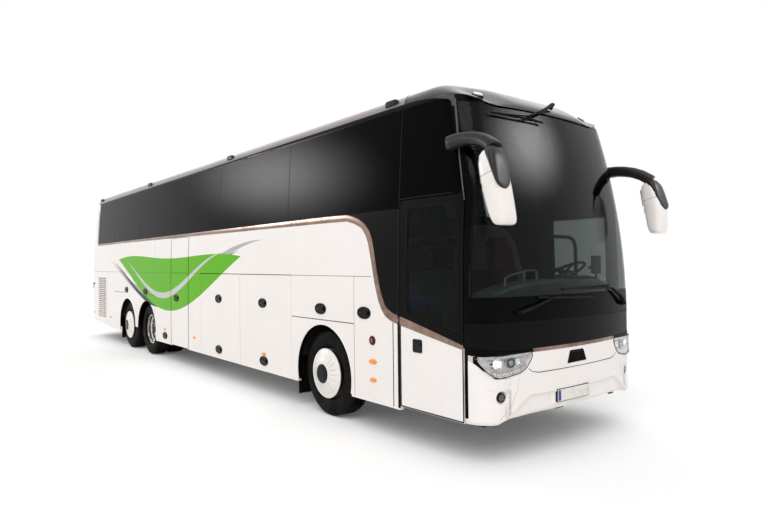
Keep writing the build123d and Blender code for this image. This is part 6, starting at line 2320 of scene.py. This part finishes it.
@dataclass
class Cabin:
    """Seats, dashboard details, steering wheel and rails inside."""

    job: Job
    pitch: float = 0.800
    width: float = 0.920
    outer: float = 1.1547
    deck: float = 1.740
    rows: tuple[tuple[int, str, float, int], ...] = (
        (LEFT, "left", 0.250, 13), (RIGHT, "right_front", 0.250, 6), (RIGHT, "right_rear", -5.385, 6),
    )

    def build(self) -> None:
        """Furnish the cabin."""
        for side, word, first, count in self.rows:
            self._bank(side, word, first, count)
        for name, finish, front, low, high, top, back in (
            ("driver", "driver_fabric", 1.640, 0.450, 0.930, 1.520, 2.200),
            ("guide", "guide_fabric", 1.400, -1.130, -0.690, 1.480, 2.130),
        ):
            seat = Seat(self.job.lines.x(front), low, high, 1.052, top, back)
            pad_piece = seat.pads().finish(f"{name}_seat_pads", self.job.finishes[finish])
            inflate(pad_piece, 0.018, 0.012)
            pad_piece.data.materials.clear()
            pad_piece.data.materials.append(self.job.finishes[finish])
            settle(pad_piece, "coach", "cab_seat_fabric", ["cab_seats"] if name == "driver" else ())
            self.job.put(seat.frame(), f"{name}_seat_frame", "frame_steel")
        self._steering()
        self._dash()
        self._rails()

    def _bank(self, side: int, word: str, first: float, count: int) -> None:
        """One bank of double seats, one behind the other."""
        edges = sorted((side * self.outer, side * (self.outer - self.width)))
        seat = Seat(self.job.lines.x(first), edges[0], edges[1], self.deck + 0.002, self.deck + 0.450,
                    self.deck + 1.080, places=2)
        step = (-self.pitch, 0.0, 0.0)
        cloth = self.job.finishes["seat_fabric"]
        pads = seat.pads().finish(f"passenger_seat_pads_{word}", cloth)
        inflate(pads, 0.034, 0.012)
        self.job.repeats.apply(pads, self.job.repeats.row, Count=count, Step=step, Material=cloth)
        settle(pads, "coach", "seat_fabric", ["passenger_seats"])
        self.job.repeat(seat.frame(), f"passenger_seat_frames_{word}", "frame_steel", Count=count, Step=step)

    def _steering(self) -> None:
        """Centre boss of the steering wheel."""
        low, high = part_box("steering_wheel")
        top = Vector(((low.x + high.x) / 2, (low.y + high.y) / 2, high.z))
        boss = Form().grid([
            [Vector((top.x - 0.055 + u * share + 0.45 * rise, top.y + v * share,
                     top.z - 0.125 + rise - 0.53 * u * share)) for u, v in rounded(0.055, 0.065, 0.03, 4)]
            for share, rise in ((1.0, 0.0), (0.98, 0.016), (0.85, 0.026), (0.4, 0.029))
        ])
        self.job.put(boss, "steering_boss", "wheel_plastic", "steering_wheel")

    def _dash(self) -> None:
        """Swept dashboard top, instrument hood, screens and switch rows."""
        x = self.job.lines.x
        section = ((2.075, -0.010), (2.110, 0.004), (2.250, 0.012), (2.360, 0.0), (2.375, -0.030), (2.375, -0.250),
                   (2.200, -0.250), (2.075, -0.250))
        ledge = Form().grid([
            [Vector((x(fx + 0.02 * v), y, z + v)) for fx, v in section]
            for y, z in ((-0.900, 1.545), (-0.600, 1.610), (-0.150, 1.650), (0.200, 1.655), (0.450, 1.650),
                         (0.900, 1.640), (1.060, 1.600), (1.120, 1.560))
        ])
        self.job.put(ledge, "dash_top", "dash_plastic", angle=25)
        hood = Form().grid([
            [Vector((x(fx), 0.690 + u * 0.30 * wide, 1.610 + 0.075 * wide * v)) for u, v in oblong(28, 2.4)]
            for fx, wide in ((2.070, 0.92), (2.060, 1.0), (2.110, 1.03), (2.230, 1.05), (2.330, 0.90), (2.345, 0.7))
        ])
        self.job.put(hood, "instrument_hood", "satin_black")
        screen = Form().box((x(2.055), 0.455, 1.560), (x(2.063), 0.925, 1.650))
        screen.box((x(2.046), 0.10, 1.200), (x(2.056) + 0.004, 0.34, 1.325))
        screen.box((x(2.230), 0.965, 1.700), (x(2.270), 1.105, 1.905))
        screen.tube([Vector((x(2.250), 1.035, 1.600)), Vector((x(2.250), 1.035, 1.720))], 0.014, 8)
        screen.tube([Vector((x(2.250), 0.900, 1.770)), Vector((x(2.250), 0.975, 1.770))], 0.018, 8)
        self.job.put(screen, "dash_screens", "wheel_plastic")
        switch = Form().grid([
            [Vector((x(2.052) - rise, -0.08 + u * share, 1.270 + v * share))
             for u, v in rounded(0.012, 0.018, 0.004, 3)]
            for share, rise in ((1.0, -0.010), (1.0, 0.004), (0.85, 0.007), (0.4, 0.007))
        ])
        self.job.repeat(switch, "dash_switches", "wheel_plastic", Count=5, Step=(0.0, 0.034, 0.0))

    def _rails(self) -> None:
        """Bright grab rail on the dashboard and the dark frame beside the driver."""
        front, back = self.job.lines.x(2.290), self.job.lines.x(1.900)
        rail = Form().tube([Vector((front, y, z)) for y, z in (
            (-0.640, 1.600), (-0.630, 1.690), (-0.560, 1.712), (-0.320, 1.752), (-0.180, 1.764), (-0.135, 1.740),
            (-0.130, 1.650))], 0.013, 12)
        rail.tube([Vector((front, -0.330, z)) for z in (1.640, 1.752)], 0.010, 10)
        self.job.put(rail, "dash_grab_rail", "chrome")
        frame = Form().tube([Vector((back, y, z)) for y, z in (
            (0.520, 1.052), (0.520, 2.040), (0.560, 2.110), (0.640, 2.135), (1.020, 2.135), (1.120, 2.100),
            (1.160, 2.010), (1.165, 1.052))], 0.022, 12)
        self.job.put(frame, "driver_frame", "satin_black")


@dataclass
class Nose:
    """Roof whose nose falls to a thin lip over the windscreen, and the front frame tucked under it."""

    lines: Lines
    finishes: Finishes
    cant: float = 3.450
    fall_start: float = 1.748
    fall_end: float = 2.440
    middle_share: float = 0.294
    lip_drop: float = 0.100
    lip_forward: float = 0.46

    def build(self, nodes: dict[str, bpy.types.Object]) -> dict[str, bpy.types.Object]:
        """Make both skins from the CAD solids.

        Args:
            nodes: The CAD nodes.

        Returns:
            The nodes, with the two skins in place of theirs.
        """
        shapes = dict(nodes)
        for name, move, finish, slot in (("roof", self._roof, "roof_paint_with_nose_shade", "body_paint"),
                                         ("front_frame", self._frame, "black_trim", "black_trim")):
            solid = bmesh.new()
            solid.from_mesh(nodes[name].data)
            bmesh.ops.remove_doubles(solid, verts=solid.verts, dist=1e-5)
            form = Form()
            solid.verts.index_update()
            form.points = [move(vertex.co) for vertex in solid.verts]
            form.faces = [tuple(vertex.index for vertex in face.verts) for face in solid.faces]
            solid.free()
            shapes[name] = form.finish(f"{name}_skin", self.finishes[finish])
            settle(shapes[name], "coach", slot, [name])
        return shapes

    def _lip(self, step: float, y: float) -> float:
        """How far the nose's lip is lowered at a place."""
        return self.lip_drop * ease(step, 1.869, 2.330) * (1 - ease(abs(y), 0.800, 1.192))

    def _roof(self, point: Vector) -> Vector:
        """Move one point of the roof."""
        step, y = point.x - self.lines.front, abs(point.y)
        share = self.middle_share + (1 - self.middle_share) * ease(y, 0.500, 0.974)
        fall = max(0.0, point.z - self.cant) * ease(step, self.fall_start, self.fall_end) * share
        lip = self._lip(step, y)
        return Vector((point.x + self.lip_forward * lip, point.y, point.z - fall - lip))

    def _frame(self, point: Vector) -> Vector:
        """Move one point of the front frame."""
        step, y = point.x - self.lines.front, abs(point.y)
        if step < 2.0:
            return point.copy()
        back = 0.060 * ease(point.z, 3.250, 3.345) * (1 - ease(y, 0.950, 1.130))
        down = 1.15 * self._lip(2.4, y) * ease(point.z, 3.300, 3.450)
        return Vector((point.x - back, point.y, point.z - down))


@dataclass
class Shell:
    """Finishes of the CAD nodes that stay as they are."""

    job: Job
    finishes: tuple[tuple[str, tuple[str, ...]], ...] = (
        ("body_paint", ("side_wall_right", "side_wall_left", "luggage_flap_right_1", "luggage_flap_right_2",
                        "luggage_flap_left_1", "luggage_flap_left_2", "mid_door", "front_door", "front_panel")),
        ("white_paint", ("rear_wall", "engine_door")),
        ("roof_paint_with_nose_shade", ("roof",)),
        ("hatch_plastic", ("roof_hatches",)),
        ("black_trim", ("front_frame", "window_frame")),
        ("tinted_glass", ("side_glass_right", "side_glass_left", "rear_window")),
        ("screen_glass", ("windscreen",)),
        ("cab_glass", ("cab_window",)),
        ("door_glass", ("front_door_glass",)),
        ("floor_vinyl", ("deck_floor", "cab_floor", "entry_steps", "mid_steps")),
        ("hold_metal", ("hold_tub",)),
        ("chassis_paint", ("chassis_frame", "cross_members", "tow_brackets", "rear_axles", "front_axle",
                           "knuckle_left", "knuckle_right", "wheel_housings")),
        ("engine_metal", ("engine",)),
        ("dash_plastic", ("dashboard",)),
        ("wheel_plastic", ("steering_wheel",)),
        ("frame_steel", ("front_door_arm", "mid_door_arm")),
    )

    def build(self, nodes: dict[str, bpy.types.Object]) -> None:
        """Give every CAD node its finish."""
        chosen = {node: finish for finish, members in self.finishes for node in members}
        for name, piece in nodes.items():
            material = self.job.finishes[chosen.get(name, "satin_black")]
            if not piece.material_slots:
                piece.data.materials.append(material)
            for slot in piece.material_slots:
                slot.material = material


@dataclass
class Studio:
    """Pale floor, soft light and the camera."""

    focal: float = 599.23
    width: int = 768
    yaw: float = 38.847
    pitch: float = 0.576
    roll: float = -0.686
    eye: tuple[float, float, float] = (10.335, -5.245, 1.861)

    def build(self) -> None:
        """Set up the studio."""
        self._world()
        self._floor()
        self._lamps()
        self._soft_boxes()
        self._camera()
        bpy.context.scene.view_settings.view_transform = "Standard"

    @staticmethod
    def _shows(wire: Wire) -> Any:
        """Tell the rays that show the background as it is: seen, mirrored or through glass."""
        rays = wire.node("ShaderNodeLightPath").outputs
        seen = wire.math("MAXIMUM", rays["Is Camera Ray"], rays["Is Glossy Ray"])
        return wire.math("MAXIMUM", seen, rays["Is Transmission Ray"])

    def _world(self) -> None:
        """White where it is seen, softer where it lights."""
        world = bpy.data.worlds.new("studio")
        world.use_nodes = True
        bpy.context.scene.world = world
        wire = Wire(world.node_tree)
        background = world.node_tree.nodes["Background"]
        background.inputs[0].default_value = (1.0, 1.0, 1.0, 1.0)
        wire.put(background.inputs[1], wire.span(self._shows(wire), 0.0, 1.0, 0.67, 1.0))

    @staticmethod
    def _floor() -> None:
        """A wide white floor that keeps the shadow."""
        reach = 60.0
        mesh = bpy.data.meshes.new("floor")
        mesh.from_pydata([(-reach, -reach, 0), (reach, -reach, 0), (reach, reach, 0), (-reach, reach, 0)], [],
                         [(0, 1, 2, 3)])
        floor = bpy.data.objects.new("floor", mesh)
        bpy.context.scene.collection.objects.link(floor)
        material = bpy.data.materials.new("studio_floor")
        material.use_nodes = True
        wire = Wire(material.node_tree)
        shader = material.node_tree.nodes["Principled BSDF"]
        vector = wire.node("ShaderNodeTexCoord").outputs["Object"]
        cloud = wire.span(wire.noise(vector, 0.3), 0.3, 0.7)
        wire.put(shader.inputs["Base Color"], wire.mix(cloud, (0.985, 0.985, 0.985), (1.0, 1.0, 1.0)))
        shader.inputs["Roughness"].default_value = 0.9
        shader.inputs["Specular IOR Level"].default_value = 0.0
        shader.inputs["Emission Color"].default_value = (1.0, 1.0, 1.0, 1.0)
        rays = wire.node("ShaderNodeLightPath").outputs
        wire.put(shader.inputs["Emission Strength"], wire.math("MULTIPLY", rays["Is Camera Ray"], 0.07))
        mesh.materials.append(material)

    @staticmethod
    def _lamps() -> None:
        """One wide soft sun from ahead on the right, and a weak one from behind."""
        for name, strength, angle, way in (
            ("main_light", 1.25, 50, (-0.50, 0.62, -0.95)), ("rear_light", 0.35, 70, (0.55, -0.40, -0.70)),
        ):
            lamp = bpy.data.lights.new(name, "SUN")
            lamp.energy = strength
            lamp.angle = math.radians(angle)
            source = bpy.data.objects.new(name, lamp)
            source.rotation_euler = Vector(way).to_track_quat("-Z", "Y").to_euler()
            bpy.context.scene.collection.objects.link(source)

    @staticmethod
    def _soft_boxes() -> None:
        """Soft boxes that fade to their edges and only show as reflections in the glass."""
        for name, aim, bearing, height, wide, tall, strength in (
            ("front_soft_box", (6.7, -0.4, 3.0), 47.0, 28.0, 18.0, 13.0, 13.0),
            ("side_soft_box", (2.5, -1.2, 3.0), -150.0, 12.5, 13.0, 9.0, 9.0),
        ):
            turn, rise = math.radians(bearing), math.radians(height)
            way = Vector((math.cos(turn) * math.cos(rise), math.sin(turn) * math.cos(rise), math.sin(rise)))
            lamp = bpy.data.lights.new(name, "AREA")
            lamp.shape, lamp.size, lamp.size_y = "RECTANGLE", wide, tall
            lamp.energy = 4.0 * wide * tall * strength
            lamp.use_nodes = True
            wire = Wire(lamp.node_tree)
            gap = wire.node("ShaderNodeVectorMath")
            gap.operation = "DISTANCE"
            wire.put(gap.inputs[0], wire.node("ShaderNodeNewGeometry").outputs["Parametric"])
            gap.inputs[1].default_value = (0.5, 0.5, 0.0)
            fade = wire.span(gap.outputs["Value"], 0.0, 0.5, 1.0, 0.0)
            wire.put(lamp.node_tree.nodes["Emission"].inputs["Strength"], wire.math("POWER", fade, 1.5))
            source = bpy.data.objects.new(name, lamp)
            source.location = Vector(aim) + way * 24.0
            source.rotation_euler = (-way).to_track_quat("-Z", "Y").to_euler()
            source.visible_camera = source.visible_diffuse = source.visible_transmission = False
            bpy.context.scene.collection.objects.link(source)

    def _camera(self) -> None:
        """The camera, from its bearing, tilt and roll."""
        yaw, pitch, roll = (math.radians(angle) for angle in (self.yaw, self.pitch, self.roll))
        ahead = Vector((-math.cos(yaw) * math.cos(pitch), math.sin(yaw) * math.cos(pitch), math.sin(pitch)))
        right = ahead.cross(Vector((0, 0, 1))).normalized()
        above = right.cross(ahead)
        across = right * math.cos(roll) + above * math.sin(roll)
        upward = above * math.cos(roll) - right * math.sin(roll)
        lens = bpy.data.cameras.new("camera")
        lens.sensor_width = 36.0
        lens.lens = self.focal * 36.0 / self.width
        lens.clip_end = 400.0
        camera = bpy.data.objects.new("camera", lens)
        turn = Matrix((across, upward, -ahead)).transposed().to_4x4()
        camera.matrix_world = Matrix.Translation(self.eye) @ turn
        bpy.context.scene.collection.objects.link(camera)
        bpy.context.scene.camera = camera


def main() -> None:
    """Build the coach in its studio."""
    logging.basicConfig(level=logging.INFO, format="%(name)s: %(message)s")
    for item in list(bpy.data.objects):
        bpy.data.objects.remove(item)
    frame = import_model()
    nodes = frame["nodes"]
    lines = measure_lines()
    finishes = Finishes(lines)
    shapes = Nose(lines, finishes).build(nodes)
    job = Job(lines, Skin(lines, shapes), finishes, Repeats(), frame["record"]["behaviour"]["bodies"])
    Shell(job).build(nodes)
    for part in (Trim, SideFittings, Bumper, Headlamps, FrontFittings, Wipers, Mirrors, Wheels, RoofFittings,
                 RearFittings, Cabin):
        part(job).build()
        LOG.info("%s done", part.__name__)
    Studio().build()
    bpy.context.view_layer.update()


if __name__ == "__main__":
    main()
